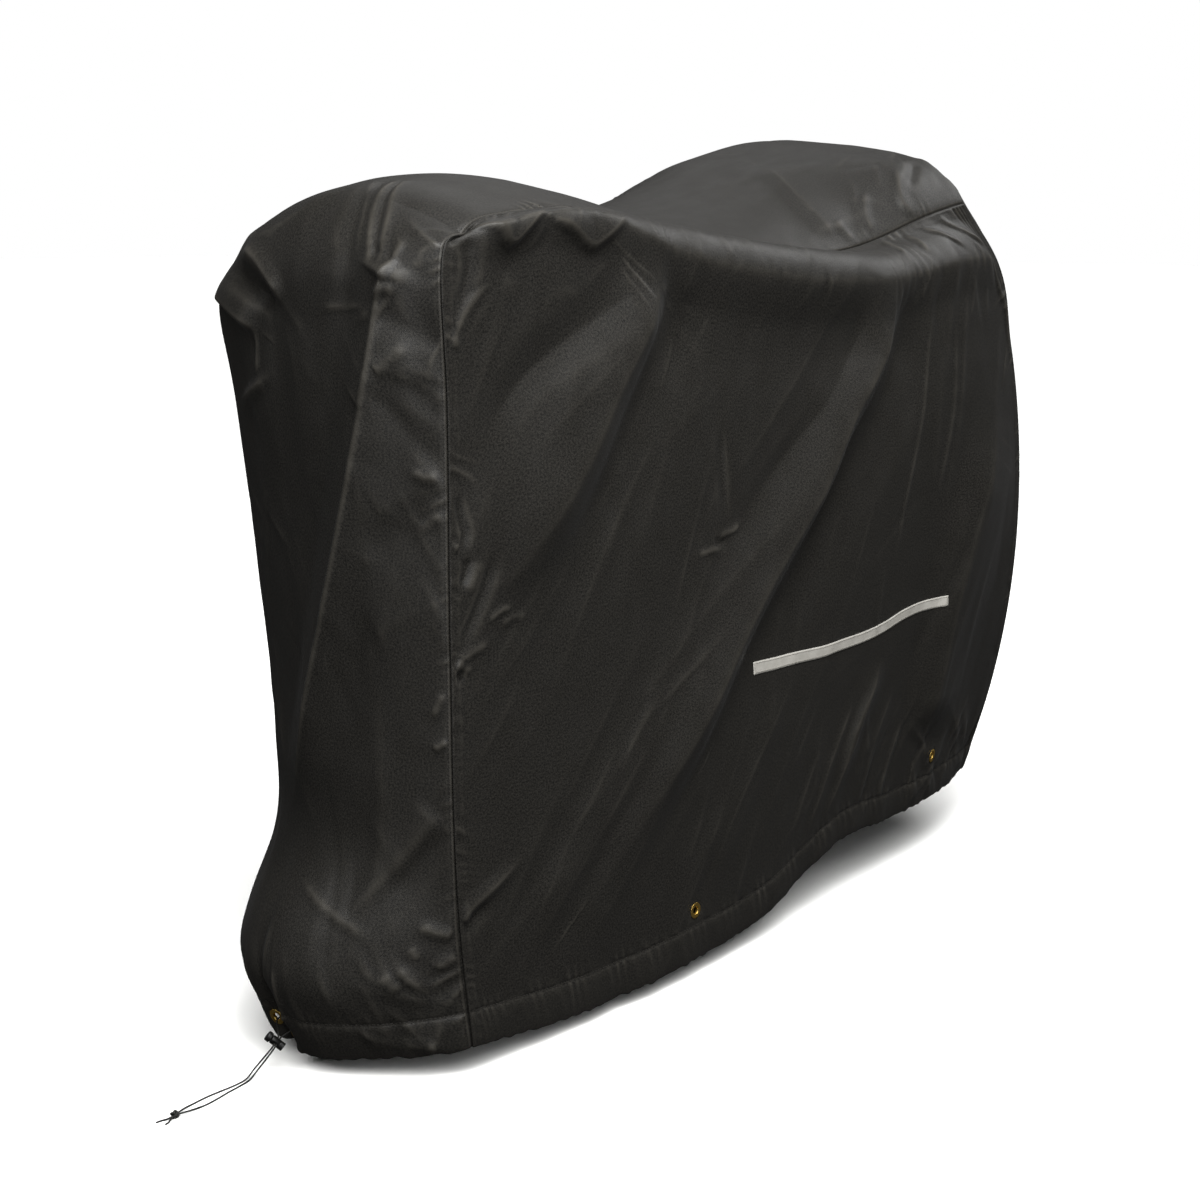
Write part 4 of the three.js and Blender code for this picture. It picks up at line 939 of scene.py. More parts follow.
def smooth_path(points, count):
    """Even points along a smooth curve through the given ones: cubics over the root of the chord."""
    points = np.array(points, float)
    knots = np.concatenate([[0], np.cumsum(np.linalg.norm(np.diff(points, axis=0), axis=1) ** 0.5)])
    fine = weights(knots, np.linspace(0, knots[-1], 40 * len(points))) @ points
    run = np.concatenate([[0], np.cumsum(np.linalg.norm(np.diff(fine, axis=0), axis=1))])
    even = np.linspace(0, run[-1], count)
    return np.stack([np.interp(even, run, fine[:, k]) for k in range(3)], axis=-1), run[-1]


def tube(name, path, radius, sides, lean=(0.5, -0.8, 0.3), closed=False):
    """A round tube along a path: path + radius * (cos * side + sin * front), where side is square to the
    path and to a leaning direction that the path never takes. Its ends are rounded over half a radius."""
    chords = np.roll(path, -1, 0) - np.roll(path, 1, 0) if closed else np.gradient(path, axis=0)
    ahead = unit(chords)
    side = unit(np.cross(ahead, lean))
    front = np.cross(side, ahead)
    turn = np.linspace(0, 2 * np.pi, sides + 1)
    girth = np.full(len(path), float(radius))
    if not closed:
        path = np.concatenate([path[:1], path[:1], path, path[-1:], path[-1:]])
        path[:2] -= ahead[0] * radius * np.array([[0.5], [0.3]])
        path[-2:] += ahead[-1] * radius * np.array([[0.3], [0.5]])
        side = np.concatenate([side[:1], side[:1], side, side[-1:], side[-1:]])
        front = np.concatenate([front[:1], front[:1], front, front[-1:], front[-1:]])
        girth = np.concatenate([[0, radius * 0.75], girth, [radius * 0.75, 0]])
    else:
        path = np.concatenate([path, path[:1]])
        side = np.concatenate([side, side[:1]])
        front = np.concatenate([front, front[:1]])
        girth = np.concatenate([girth, girth[:1]])
    ring = np.cos(turn)[:, None] * side[:, None] + np.sin(turn)[:, None] * front[:, None]
    points = path[:, None] + girth[:, None, None] * ring
    run = np.concatenate([[0], np.cumsum(np.linalg.norm(np.diff(path, axis=0), axis=1))])
    uv = np.stack(np.broadcast_arrays(run[:, None], turn * radius), axis=-1).reshape(-1, 2) * MM
    return close_up(make_object(name, place(points.reshape(-1, 3)), quads_of(len(path), sides + 1), uv))


def stitches(name, panel, runs, pitch):
    """Sewing as a row of short thread beads on the cloth: each run is a line of panel places, cut into even
    stitches; a bead is a small spindle along the run, half sunk in the cloth."""
    middles = []
    ways = []
    normals = []
    for a, b in runs:
        line = panel.skin(a, b)
        run = np.concatenate([[0], np.cumsum(np.linalg.norm(np.diff(line, axis=0), axis=1))])
        at = np.arange(pitch, run[-1] - pitch / 2, pitch)
        sa = np.interp(at, run, a)
        sb = np.interp(at, run, b)
        near_a = np.interp(at + 1, run, a)
        near_b = np.interp(at + 1, run, b)
        middles.append(panel.lifted(sa, sb, np.full(len(sa), STITCH["proud"])))
        ways.append(unit(panel.skin(near_a, near_b) - panel.skin(sa, sb)))
        normals.append(panel.across(panel.skin, sa, sb, panel.FINE_STEP))
    middle, way, normal = (np.concatenate(x) for x in (middles, ways, normals))
    side = unit(np.cross(normal, way))
    sides = STITCH["sides"]
    half = STITCH["long"] / 2
    shoulder = STITCH["shoulder_at"] * half
    rings = [(-shoulder, STITCH["shoulder"]), (0.0, 1.0), (shoulder, STITCH["shoulder"])]
    turn = np.arange(sides) * 2 * np.pi / sides
    spindle = [(-half, 0, 0)]
    for x, share in rings:
        wide = STITCH["half_wide"] * share
        spindle += [(x, wide * np.cos(q), wide * np.sin(q)) for q in turn]
    spindle.append((half, 0, 0))
    spindle = np.array(spindle)
    points = (middle[:, None] + spindle[:, :1] * way[:, None] + spindle[:, 1:2] * side[:, None]
              + spindle[:, 2:] * normal[:, None])
    last = len(spindle) - 1
    around = [(k, (k + 1) % sides) for k in range(sides)]
    faces = [(0, 1 + q, 1 + p) for p, q in around]
    for ring in range(len(rings) - 1):
        low = 1 + ring * sides
        high = low + sides
        faces += [(low + p, low + q, high + q) for p, q in around]
        faces += [(low + p, high + q, high + p) for p, q in around]
    top = 1 + (len(rings) - 1) * sides
    faces += [(top + p, top + q, last) for p, q in around]
    faces = np.array(faces)
    every = (np.arange(len(middle))[:, None, None] * len(spindle) + faces).reshape(-1, 3)
    return make_object(name, place(points.reshape(-1, 3)), every)


# Materials
def linear(code):
    """Linear colour of an sRGB hex value."""
    parts = np.array([int(code[k:k + 2], 16) / 255 for k in (1, 3, 5)])
    bright = np.where(parts <= 0.04045, parts / 12.92, ((parts + 0.055) / 1.055) ** 2.4)
    return (*bright, 1.0)


def new_material(name):
    """An empty node material with its Principled shader."""
    material = bpy.data.materials.new(name)
    material.use_nodes = True
    return material, material.node_tree, material.node_tree.nodes["Principled BSDF"]


def node(tree, kind, links=None, **settings):
    """Adds a node: settings are its properties, or its input sockets by name with _ for a space, and links
    gives for each input, by name or number, the socket that feeds it."""
    made = tree.nodes.new(kind)
    for key, value in settings.items():
        if hasattr(made, key):
            setattr(made, key, value)
        else:
            made.inputs[key.replace("_", " ")].default_value = value
    for key, socket in (links or {}).items():
        tree.links.new(socket, made.inputs[key])
    return made


def set_shader(shader, **values):
    """Fills the shader's sockets, by name with _ for a space: with a value, or the socket that feeds it."""
    for key, value in values.items():
        own = shader.inputs[key.replace("_", " ")]
        if isinstance(value, bpy.types.NodeSocket):
            shader.id_data.links.new(value, own)
        else:
            own.default_value = value


def noise(tree, at, **settings):
    """Noise at a place, from 0 to 1 with a mean of 0.5."""
    return node(tree, "ShaderNodeTexNoise", {"Vector": at}, **settings).outputs["Fac"]


def mixed(tree, factor, first, second):
    """Colour between two sRGB hex values, by a factor."""
    made = node(tree, "ShaderNodeMix", {"Factor": factor}, data_type="RGBA")
    made.inputs["A"].default_value = linear(first)
    made.inputs["B"].default_value = linear(second)
    return made.outputs["Result"]


def mapped(tree, value, low, high, start=0.0, stop=1.0):
    """A value taken from the range start to stop onto the range low to high."""
    return node(tree, "ShaderNodeMapRange", {"Value": value}, From_Min=start, From_Max=stop, To_Min=low,
                To_Max=high).outputs["Result"]


def bump(tree, height, strength, deep, **under):
    """Normal turned by a height that is so many metres deep; under may give the Normal it lies on."""
    return node(tree, "ShaderNodeBump", {"Height": height, **under}, Strength=strength,
                Distance=deep).outputs["Normal"]


def threads(tree, coordinate, pitch_mm, turn=0.0):
    """Height of a plain weave, from 0 to 1: the product of two bands of round threads that cross."""
    turned_place = node(tree, "ShaderNodeMapping", {"Vector": coordinate}, Rotation=(0, 0, turn))
    place_of = turned_place.outputs["Vector"]
    waves_a_metre = 1 / (pitch_mm * MM) * 2 * np.pi / 20
    bands = [node(tree, "ShaderNodeTexWave", {"Vector": place_of}, wave_type="BANDS", bands_direction=way,
                  wave_profile="SIN", Scale=waves_a_metre).outputs["Fac"] for way in ("X", "Y")]
    return node(tree, "ShaderNodeMath", {0: bands[0], 1: bands[1]}, operation="MULTIPLY").outputs[0]


def coated_nylon(name, dark, pale, lit):
    """Woven nylon with a thin polyurethane coat: near black with a warm cast, satin rather than matt, the
    weave just felt under the coat, and ridges painted a little lighter in patches, partly as rubbed wear and
    partly as a painted highlight along the crests."""
    material, tree, shader = new_material(name)
    uv = node(tree, "ShaderNodeUVMap", uv_map="cloth").outputs["UV"]
    # How far the cloth is painted toward its lit colour: partly rubbed wear, partly a painted highlight
    # along crests
    wear_and_highlight = node(tree, "ShaderNodeAttribute", attribute_name="wear_and_highlight").outputs["Fac"]
    # A 0.4 mm weave is too fine to show here, so it is drawn at 1.5 mm
    weave = threads(tree, uv, 1.5)
    # Threads catch the light one by one, drawn as specks of about 2 mm
    grain = noise(tree, uv, Scale=430.0, Detail=2.0, Roughness=0.75)
    cloudy = noise(tree, uv, Scale=22.0, Detail=4.0, Roughness=0.55)
    patch = mapped(tree, cloudy, 0.35, 1.0, start=0.3, stop=0.7)
    worn = node(tree, "ShaderNodeMath", {0: wear_and_highlight, 1: patch}, operation="MULTIPLY").outputs[0]
    yarns = mixed(tree, mapped(tree, grain, 0.0, 1.0, start=0.36, stop=0.64), dark, pale)
    tint = node(tree, "ShaderNodeMix", {"Factor": worn, "A": yarns}, data_type="RGBA")
    tint.inputs["B"].default_value = linear(lit)
    fine = bump(tree, weave, 0.35, 0.00012)
    set_shader(shader, Base_Color=tint.outputs["Result"],
               Roughness=mapped(tree, cloudy, 0.46, 0.56, start=0.3, stop=0.7),
               Normal=bump(tree, grain, 0.45, 0.0005, Normal=fine), IOR=1.5, Sheen_Weight=0.03,
               Sheen_Roughness=0.4, Specular_IOR_Level=0.42)
    return material


def reflective_weave(name):
    """Glass-bead reflective tape: pale warm grey, finely pebbled, with a soft metallic glance."""
    material, tree, shader = new_material(name)
    uv = node(tree, "ShaderNodeUVMap", uv_map="cloth").outputs["UV"]
    # Beads of 0.05 mm are too fine to show, so they are drawn at about 0.6 mm
    beads = node(tree, "ShaderNodeTexVoronoi", {"Vector": uv}, Scale=1600.0)
    soil = noise(tree, uv, Scale=60.0, Detail=4.0)
    set_shader(shader, Base_Color=mixed(tree, soil, "#b9b6ad", "#e4e1d9"),
               Normal=bump(tree, beads.outputs["Distance"], 0.3, 0.0001), Roughness=0.42, IOR=1.5,
               Metallic=0.0)
    return material


def stamped_brass(name):
    """Brass, stamped and rolled: warm yellow metal worn to a soft polish, its colour and gloss uneven in
    fine patches.
    """
    material, tree, shader = new_material(name)
    at = node(tree, "ShaderNodeTexCoord").outputs["Object"]
    tarnish = noise(tree, at, Scale=380.0, Detail=5.0, Roughness=0.65)
    set_shader(shader, Base_Color=mixed(tree, tarnish, "#c79a2e", "#ffe08a"),
               Roughness=mapped(tree, tarnish, 0.38, 0.55), Normal=bump(tree, tarnish, 0.15, 0.0001),
               Metallic=1.0)
    return material


def moulded_plastic(name):
    """Moulded acetal, black: an even fine spark-eroded grain with a low gloss."""
    material, tree, shader = new_material(name)
    at = node(tree, "ShaderNodeTexCoord").outputs["Object"]
    grain = noise(tree, at, Scale=1500.0, Detail=3.0)
    set_shader(shader, Base_Color=linear("#141414"), Roughness=mapped(tree, grain, 0.34, 0.5),
               Normal=bump(tree, grain, 0.25, 0.00008), IOR=1.48)
    return material


def braided_cord(name):
    """Polyester cord, braided: dark grey yarns that cross on the slant, matt with a faint thread gleam."""
    material, tree, shader = new_material(name)
    uv = node(tree, "ShaderNodeUVMap", uv_map="cloth").outputs["UV"]
    # Yarns 0.7 mm wide, as on a 2 mm cord of eight
    braid = threads(tree, uv, 1.4, np.radians(38))
    set_shader(shader, Base_Color=mixed(tree, braid, "#1d1d1c", "#4a4947"),
               Normal=bump(tree, braid, 0.7, 0.0003), Roughness=0.72, IOR=1.5)
    return material


def spun_thread(name, base, lit):
    """Spun polyester sewing thread: a twist of two plies that catches a little light."""
    material, tree, shader = new_material(name)
    at = node(tree, "ShaderNodeTexCoord").outputs["Object"]
    # Plies drawn at 0.8 mm, twice their real length of twist
    plies = node(tree, "ShaderNodeTexWave", {"Vector": at}, wave_type="BANDS", bands_direction="DIAGONAL",
                 Scale=390.0)
    set_shader(shader, Base_Color=mixed(tree, plies.outputs["Fac"], base, lit), Roughness=0.6, IOR=1.5)
    return material


# Camera
def add_camera():
    """The photograph's viewing place, direction and lens."""
    data = bpy.data.cameras.new("camera")
    data.sensor_width = 36
    data.lens = LENS
    camera = bpy.data.objects.new("camera", data)
    camera.location = EYE
    camera.rotation_euler = (np.radians(PITCH), 0, np.radians(HEADING))
    bpy.context.scene.collection.objects.link(camera)
    bpy.context.scene.camera = camera


add_camera()

# The third colour is the lit one on crests: partly rubbed wear, partly a painted highlight
cloth_finish = coated_nylon("coated_woven_nylon", "#161513", "#34322e", "#48453f")
tape_finish = reflective_weave("reflective_bead_tape")
brass_finish = stamped_brass("stamped_brass")
plastic_finish = moulded_plastic("moulded_acetal")
cord_finish = braided_cord("braided_polyester_cord")
thread_finish = spun_thread("spun_polyester_thread", "#211f1c", "#3d3a35")
tape_thread_finish = spun_thread("grey_polyester_thread", "#8d8a83", "#a9a69e")


# Eyelets, placed on their plain solids
def seat_of(name):
    """Middle and axis of a plain eyelet: the mean of its corners and the direction in which they spread
    least, pointing away from the inside of the cover."""
    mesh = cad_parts[name].data
    corners = np.empty(len(mesh.vertices) * 3, np.float32)
    mesh.vertices.foreach_get("co", corners)
    corners = corners.reshape(-1, 3).astype(float) / MM + CREST
    middle = (corners.min(0) + corners.max(0)) / 2
    axis = np.linalg.svd(corners - corners.mean(0), full_matrices=False)[2][2]
    outwards = middle - np.array([INSIDE_X, 0.0, middle[2]])
    return middle, axis * np.sign(axis @ outwards)


def rolled_eyelet(name):
    """A brass eyelet: a barrel through the cloth with a rolled rim on each face."""
    middle, axis = seat_of(name)
    bore, flange, thick = EYELET["bore"], EYELET["flange"], EYELET["flange_thick"]
    half, lip = EYELET["half_grip"], EYELET["lip"]
    roll = thick / 2
    outside = (arc((bore + lip, half + thick - lip), lip, 180, 90, 7)
               + [((bore + flange) / 2 + EYELET["crown_out"], half + thick)]
               + arc((flange - roll, half + roll), roll, 90, -90, 7))
    inside = [(r, -y) for r, y in reversed(outside)]
    profile = outside + [(EYELET["barrel"], half), (EYELET["barrel"], -half)] + inside
    profile.append(profile[0])
    piece = turned(name + "_brass", profile, axis, middle, TURNED_SIDES)
    return finish_piece(piece, brass_finish, [name])


# Cord lock: a ribbed barrel with a cross hole and a push button in its end
lock_centre = np.array([-124.0, -42.0, 2.0])
lock_axis = unit(np.array([0.46, -0.62, -0.64]))
hole_axis = np.array([0.62, 0.62, 0.48])
hole_axis = unit(hole_axis - (hole_axis @ lock_axis) * lock_axis)
lock_end = lock_centre - lock_axis * LOCK["long"] / 2
lock_hole = lock_end + lock_axis * (LOCK["socket"] + LOCK["gap"] + LOCK["hole_at"])


def lock_barrel():
    """The lock's barrel: a turned body with three shallow grip grooves, drilled across for the strands."""
    radius, long, edge = LOCK["radius"], LOCK["long"], LOCK["edge"]
    neck, socket = LOCK["neck"] + LOCK["gap"], LOCK["socket"]
    wide, flat = GRIP_GROOVES["half_wide"], GRIP_GROOVES["half_floor"]
    bottom = radius - GRIP_GROOVES["deep"]
    grooves = []
    for middle in GRIP_GROOVES["at"]:
        grooves += [(radius, middle - wide), (bottom, middle - flat), (bottom, middle + flat),
                    (radius, middle + wide)]
    profile = ([(0, socket), (neck, socket), (neck, 0)] + arc((radius - edge, edge), edge, -90, 0, 6)
               + grooves + arc((radius - edge, long - edge), edge, 0, 90, 6) + [(0, long)])
    barrel = turned("cord_lock_barrel", profile, lock_axis, lock_end, TURNED_SIDES)
    hole, reach = LOCK["hole"], LOCK["drill_reach"]
    drill = turned("drill", [(0, -reach), (hole, -reach), (hole, reach), (0, reach)], hole_axis, lock_hole,
                   DRILL_SIDES)
    cut = barrel.modifiers.new("cross hole", "BOOLEAN")
    cut.object = drill
    cut.operation = "DIFFERENCE"
    cut.solver = "EXACT"
    bpy.context.view_layer.update()
    ready = barrel.evaluated_get(bpy.context.evaluated_depsgraph_get())
    drilled = bpy.data.meshes.new_from_object(ready)
    barrel.modifiers.clear()
    barrel.data = drilled
    bpy.data.objects.remove(drill)
    return finish_piece(barrel, plastic_finish, ["cord_lock_body"])


def lock_button():
    """The push button: a rounded head on a neck that slides in the barrel's socket."""
    head, edge, neck = LOCK["head"], LOCK["edge"], LOCK["neck"]
    face = -2 * LOCK["gap"]
    far = face - LOCK["head_long"]
    stop = LOCK["socket"] - LOCK["gap"]
    soft = LOCK["button_round"]
    profile = ([(0, far), (head * LOCK["button_flat"], far)]
               + arc((head - soft, far + soft), soft, -90, 0, 7)
               + arc((head - edge, face - edge), edge, 0, 90, 5)
               + [(neck, face), (neck, stop), (0, stop)])
    piece = turned("cord_lock_push_button", profile, lock_axis, lock_end, TURNED_SIDES)
    return finish_piece(piece, plastic_finish, ["cord_lock_button"])


def knot_piece():
    """The end knot: one cord wound as a three-lobed knot, (R + r cos 3q)(cos 2q, sin 2q) and h sin 3q."""
    form = KNOT_FORM
    q = np.linspace(0, 2 * np.pi, form["steps"] + 1)[:-1]
    ring = form["ring"] + form["lobe"] * np.cos(3 * q)
    line = np.stack([ring * np.cos(2 * q), form["flat"] * ring * np.sin(2 * q),
                     form["half_tall"] * np.sin(3 * q)], axis=-1)
    piece = tube("drawcord_end_knot", KNOT + line, form["cord"], CORD_SIDES, lean=(0.02, 0.03, 1.0),
                 closed=True)
    return finish_piece(piece, cord_finish, ["drawcord_knot"])


FLOOR_CORD = FLOOR_Z + CORD / 2
# Strands of the drawcord: the eyelet they leave, their place in the lock's hole, and their points on the
# floor and past the knot
STRANDS = [
    {"name": "near", "eyelet": "cord_eyelet_near", "shift": STRAND_APART / 2,
     "floor": [(-150, -35, -24.5), (-166, -39, FLOOR_CORD + 1), (-183, -41, FLOOR_CORD),
               (-202, -43, FLOOR_CORD), (-222, -46, FLOOR_CORD), (-240, -47.5, FLOOR_CORD),
               (-260, -46.5, FLOOR_CORD + 1)],
     "tail": [(-290, -42, FLOOR_CORD + 0.6), (-296, -39, FLOOR_CORD), (-302, -38, FLOOR_CORD)]},
    {"name": "far", "eyelet": "cord_eyelet_far", "shift": -STRAND_APART / 2,
     "floor": [(-150, -30.5, -23.5), (-166, -34, FLOOR_CORD + 1), (-184, -35, FLOOR_CORD),
               (-204, -34, FLOOR_CORD), (-224, -33, FLOOR_CORD), (-242, -34, FLOOR_CORD),
               (-262, -37, FLOOR_CORD + 1)],
     "tail": [(-290, -46.5, FLOOR_CORD + 0.6), (-294, -48.5, FLOOR_CORD), (-299, -49.5, FLOOR_CORD)]},
]
CORD_SIDES = 12
CORD_STEPS = 240
# The plain eyelets' bores have this many sides, and a strand lies against the flat of one
BORE_SIDES = 14
# Points of a strand: how far out along its eyelet's axis, and how far along the lock's hole
OUT_AT = (-5, 0, 4)
THROUGH_AT = (9, 4, -4, -10)


def strand_piece(row):
    """One strand of the drawcord: out of its eyelet's bore, through the lock, down, along the floor, through
    the knot and out as a tail."""
    middle, axis = seat_of(row["eyelet"])
    seat = middle + PLAIN_HALF * axis
    pull = lock_hole - seat
    pull = pull - (pull @ axis) * axis
    flat_radius = EYELET["bore"] * np.cos(np.pi / BORE_SIDES)
    start = seat + unit(pull) * (flat_radius - CORD / 2 - LOCK["gap"])
    out = [start + axis * distance for distance in OUT_AT]
    through = [lock_hole + hole_axis * distance + lock_axis * row["shift"] for distance in THROUGH_AT]
    in_knot = tuple(KNOT - np.array([0, 0, KNOT_FORM["strands_under"]]))
    path, length = smooth_path(out + through + row["floor"] + [in_knot] + row["tail"], CORD_STEPS)
    name = row["name"]
    piece = tube(f"drawcord_strand_{name}", path, CORD / 2, CORD_SIDES)
    finish_piece(piece, cord_finish, [f"drawcord_{name}", f"drawcord_tail_{name}"])


barrel = lock_barrel()
button = lock_button()
knot = knot_piece()
strand_piece(STRANDS[0])
strand_piece(STRANDS[1])


def cloth_seat(name):
    """Where the cloth's outer face lies flat under an eyelet: half a plain sheet out from its middle."""
    middle, axis = seat_of(name)
    return middle + PLAIN_HALF * axis, axis


# Cloth: three panels, each with a seed of its own, which share the grid lines of their seams
near = side_panel(NEAR_SECTIONS, -1, NEAR_CREASES, NEAR_WRINKLES, 11, True)
far = side_panel(FAR_SECTIONS, 1, [], FAR_WRINKLES, 57, False)
centre = centre_panel(CENTRE_WRINKLES, 23)

near.seats = [cloth_seat("near_side_eyelet"), cloth_seat("near_rear_eyelet")]
far.seats = [cloth_seat("far_side_eyelet"), cloth_seat("far_rear_eyelet")]
centre.seats = [cloth_seat(name) for name in FRONT_EYELETS]

hole = GRID["eyelet"]
side_holes = [SIDE_EYELET, REAR_EYELET]
front_holes = list(FRONT_EYELETS.values())


def breaks_round(spots, length):
    """Breaks of a direction of a panel: both seams, and three lines for each eyelet."""
    lines = [(spot + off, hole) for spot in spots for off in (-hole, 0, hole)]
    return [(0.0, GRID["seam"]), *lines, (length, GRID["seam"])]


front_low, front_high = sorted(spot for spot, _ in front_holes)
low, high = SIDE_EYELET[1], REAR_EYELET[1]
up_breaks = [
    (0.0, GRID["line"]), (front_low - hole, hole), (front_low, hole), (front_high, hole),
    (front_high + hole, hole), (HEM["channel"], GRID["line"]), (low - hole, hole), (low, hole),
    ((low + high) / 2, hole), (high, hole), (high + hole, hole), (HEIGHT, GRID["seam"]),
]
along_lines = graded(breaks_round([along for along, _ in side_holes], LENGTH), GRID["step"])
up_lines = graded(up_breaks, GRID["step"])
across_lines = graded(breaks_round([across for _, across in front_holes], WIDTH), GRID["across"])
# The centre panel's lines round the side: up the front, along the top (one height for its length), down
round_lines = np.concatenate([
    up_lines, HEIGHT * (1 + along_lines[1:] / LENGTH), 3 * HEIGHT - up_lines[::-1][1:]])

near_cloth = cloth_piece("near_side_cloth", near, along_lines, up_lines, side_holes, NEAR_SPLIT)
far_cloth = cloth_piece("far_side_cloth", far, along_lines, up_lines, side_holes, FAR_SPLIT)
centre_cloth = cloth_piece("centre_cloth", centre, round_lines, across_lines, front_holes, CENTRE_SPLIT)
finish_piece(near_cloth, cloth_finish, ["near_side_panel", "near_hem_band"])
finish_piece(far_cloth, cloth_finish, ["far_side_panel", "far_hem_band"])
finish_piece(centre_cloth, cloth_finish, ["centre_panel"])

EYELET_NODES = ["near_side_eyelet", "near_rear_eyelet", "far_side_eyelet", "far_rear_eyelet",
                *FRONT_EYELETS]
rings = {name: rolled_eyelet(name) for name in EYELET_NODES}


def tape_piece(side, panel):
    """The reflective tape: the panel's skin lifted by a gap and again by the tape's thickness."""
    along, up = TAPE["lines"]
    a, b = np.meshgrid(np.linspace(TAPE["from"], TAPE["to"], along),
                       np.linspace(TAPE["low"], TAPE["high"], up), indexing="ij")
    points = panel.lifted(a, b, np.full(a.shape, TAPE["off"] + TAPE["thick"]))
    uv = np.stack([a.ravel(), b.ravel()], axis=-1) * MM
    quads = quads_of(*a.shape, panel.outward)
    piece = make_object(f"{side}_reflective_strip", place(points.reshape(-1, 3)), quads, uv)
    solid = piece.modifiers.new("tape thickness", "SOLIDIFY")
    solid.thickness = TAPE["thick"] * MM
    solid.offset = -1
    return finish_piece(piece, tape_finish, [f"{side}_reflective_tape"])


def level_run(a, b):
    """A line of panel places at one b."""
    return a, np.full(len(a), b)


def upright_run(a, b):
    """A line of panel places at one a."""
    return np.full(len(b), a), b


def tape_sewing(side, panel):
    """The tape's sewn rectangle, a little inside its edges, in grey thread."""
    inset = TAPE["sewn_in"]
    left, right = TAPE["from"] + inset, TAPE["to"] - inset
    low, high = TAPE["low"] + inset, TAPE["high"] - inset
    along_run = np.linspace(left, right, RUN_POINTS["tape_along"])
    up_run = np.linspace(low, high, RUN_POINTS["tape_up"])
    runs = [level_run(along_run, low), level_run(along_run, high),
            upright_run(left, up_run), upright_run(right, up_run)]
    raised = Panel(panel.size, panel.plain, lambda a, b: panel.rise(a, b) + TAPE["thick"] + TAPE["off"],
                   panel.outward)
    piece = stitches(f"{side}_strip_sewing", raised, runs, TAPE["pitch"])
    return finish_piece(piece, tape_thread_finish)


near_tape = tape_piece("near", near)
far_tape = tape_piece("far", far)
near_tape_sewing = tape_sewing("near", near)
far_tape_sewing = tape_sewing("far", far)

# Sewing: both felled seams on the centre panel's side, and the line that closes each hem channel
round_run = np.linspace(SEWN_SHORT["seam"], 3 * HEIGHT - SEWN_SHORT["seam"], RUN_POINTS["round"])
along_run = np.linspace(SEWN_SHORT["hem"], LENGTH - SEWN_SHORT["hem"], RUN_POINTS["along"])
across_run = np.linspace(SEWN_SHORT["hem"], WIDTH - SEWN_SHORT["hem"], RUN_POINTS["across"])


def seam_sewing(name, panel, *runs):
    """Dark thread along one or more runs of a panel."""
    return finish_piece(stitches(name, panel, runs, STITCH["pitch"]), thread_finish)


near_seam = seam_sewing("near_seam_sewing", centre, level_run(round_run, SEAM["stitch_at"]))
far_seam = seam_sewing("far_seam_sewing", centre, level_run(round_run, WIDTH - SEAM["stitch_at"]))
near_hem = seam_sewing("near_hem_sewing", near, level_run(along_run, HEM["channel"]))
far_hem = seam_sewing("far_hem_sewing", far, level_run(along_run, HEM["channel"]))
centre_hem = seam_sewing("centre_hem_sewing", centre, upright_run(HEM["channel"], across_run),
                         upright_run(3 * HEIGHT - HEM["channel"], across_run))


# Floor and light. Lamps stand round the cover's middle: turn is the angle from the camera's side, seen from
# above and against the clock, and rise the angle over the level, both in degrees. The camera's side is its
# direction from the middle, in plan. The floor's light is as soft as a sky so many degrees wide. The room is
# what the cloth reflects: its brightness level with the floor and overhead
MIDDLE = Vector((-0.55, 0.0, -0.5))
CAMERA_SIDE = np.arctan2(-0.598, -0.802)
LAMP_AWAY = 3.4
FLOOR_REACH = 40.0
FLOOR_LIGHT = {"way": (-0.25, -0.2, 1.0), "power": 4.5, "wide": 80}
LAMPS = [
    {"name": "low_front_light", "turn": 14, "rise": 22, "size": 2.4, "power": 54},
    {"name": "top_front_light", "turn": 17, "rise": 58, "size": 1.5, "power": 114},
    {"name": "front_left_light", "turn": -48, "rise": 24, "size": 0.9, "power": 15},
    {"name": "back_light", "turn": 128, "rise": 37, "size": 1.3, "power": 20},
    {"name": "top_back_light", "turn": 178, "rise": 48, "size": 1.8, "power": 8},
]
ROOM = {"level": 0.0, "overhead": 0.01}


def add_floor():
    """A plain pale floor; what the cloth gathers back from it is a duller floor, as in a dim studio."""
    low = (FLOOR_Z - CREST[2]) * MM
    far = FLOOR_REACH
    corners = [(-far, -far, low), (far, -far, low), (far, far, low), (-far, far, low)]
    mesh = bpy.data.meshes.new("floor")
    mesh.from_pydata(corners, [], [(0, 1, 2, 3)])
    floor = bpy.data.objects.new("floor", mesh)
    bpy.context.scene.collection.objects.link(floor)
    material, tree, shader = new_material("pale_painted_floor")
    set_shader(shader, Base_Color=linear("#f2f2f0"), Roughness=0.9)
    dull = node(tree, "ShaderNodeBsdfDiffuse", Color=linear("#1f1f1f"))
    rays = node(tree, "ShaderNodeLightPath")
    both = node(tree, "ShaderNodeMixShader", {0: rays.outputs["Is Camera Ray"], 1: dull.outputs[0],
                                              2: shader.outputs[0]})
    tree.links.new(both.outputs[0], tree.nodes["Material Output"].inputs["Surface"])
    mesh.materials.append(material)
    return floor


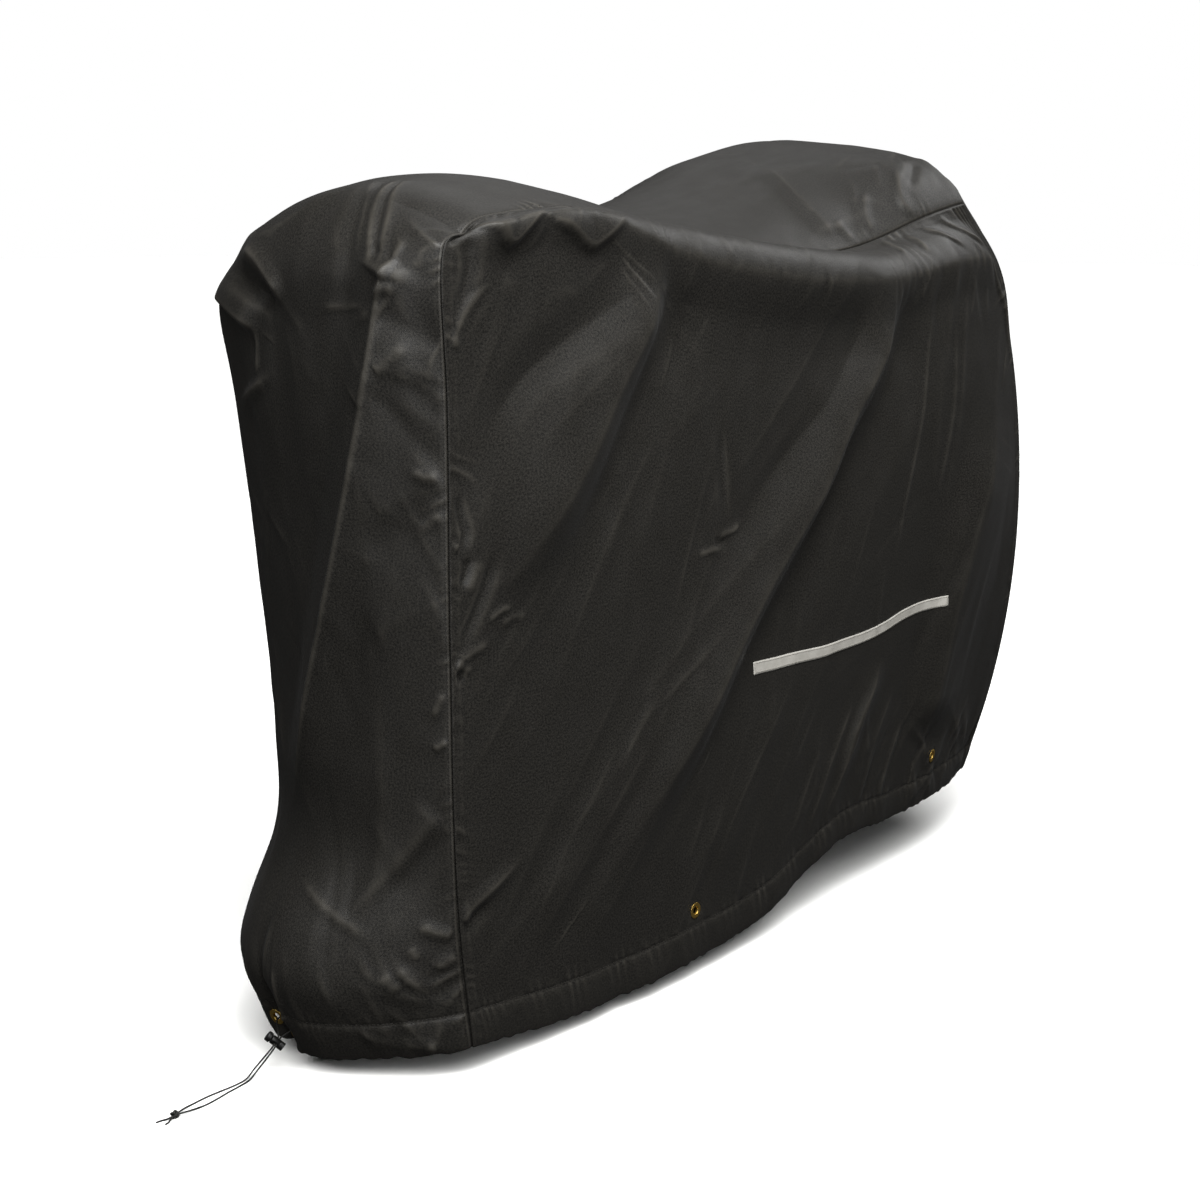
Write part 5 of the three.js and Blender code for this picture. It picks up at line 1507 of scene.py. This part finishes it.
def add_lamp(name, kind, way, power, **shape):
    """A lamp on a dome round the cover, in a direction from its middle and facing it."""
    data = bpy.data.lights.new(name, kind)
    data.energy = power
    for key, value in shape.items():
        setattr(data, key, value)
    lamp = bpy.data.objects.new(name, data)
    lamp.location = MIDDLE + LAMP_AWAY * way
    lamp.rotation_euler = (-way).to_track_quat("-Z", "Y").to_euler()
    bpy.context.scene.collection.objects.link(lamp)
    return lamp


def way_to(row):
    """Direction of a lamp's turn and rise."""
    turn = CAMERA_SIDE + np.radians(row["turn"])
    rise = np.radians(row["rise"])
    return Vector((np.cos(turn) * np.cos(rise), np.sin(turn) * np.cos(rise), np.sin(rise)))


def light_floor(floor):
    """An even overhead light which lights the floor alone."""
    lamp = add_lamp("floor_light", "SUN", Vector(FLOOR_LIGHT["way"]), FLOOR_LIGHT["power"],
                    angle=np.radians(FLOOR_LIGHT["wide"]))
    floor_only = bpy.data.collections.new("lit by the floor light")
    floor_only.objects.link(floor)
    lamp.light_linking.receiver_collection = floor_only


def add_world():
    """A plain pale surround where the camera sees it; what the cloth reflects is a dim room, darkest level
    with the floor and lighter overhead."""
    world = bpy.data.worlds.new("studio")
    world.use_nodes = True
    tree = world.node_tree
    seen = tree.nodes["Background"]
    seen.inputs["Color"].default_value = (1, 1, 1, 1)
    seen.inputs["Strength"].default_value = 1.0
    way = node(tree, "ShaderNodeTexCoord").outputs["Generated"]
    high = node(tree, "ShaderNodeSeparateXYZ", {0: way}).outputs["Z"]
    light = mapped(tree, high, ROOM["level"], ROOM["overhead"])
    dim = node(tree, "ShaderNodeBackground", {"Strength": light}, Color=(1, 1, 1, 1))
    rays = node(tree, "ShaderNodeLightPath")
    both = node(tree, "ShaderNodeMixShader", {0: rays.outputs["Is Camera Ray"],
                                              1: dim.outputs[0], 2: seen.outputs[0]})
    tree.links.new(both.outputs[0], tree.nodes["World Output"].inputs["Surface"])
    bpy.context.scene.world = world


add_world()
light_floor(add_floor())
for row in LAMPS:
    add_lamp(row["name"], "AREA", way_to(row), row["power"], size=row["size"])
bpy.context.scene.view_settings.view_transform = "Standard"
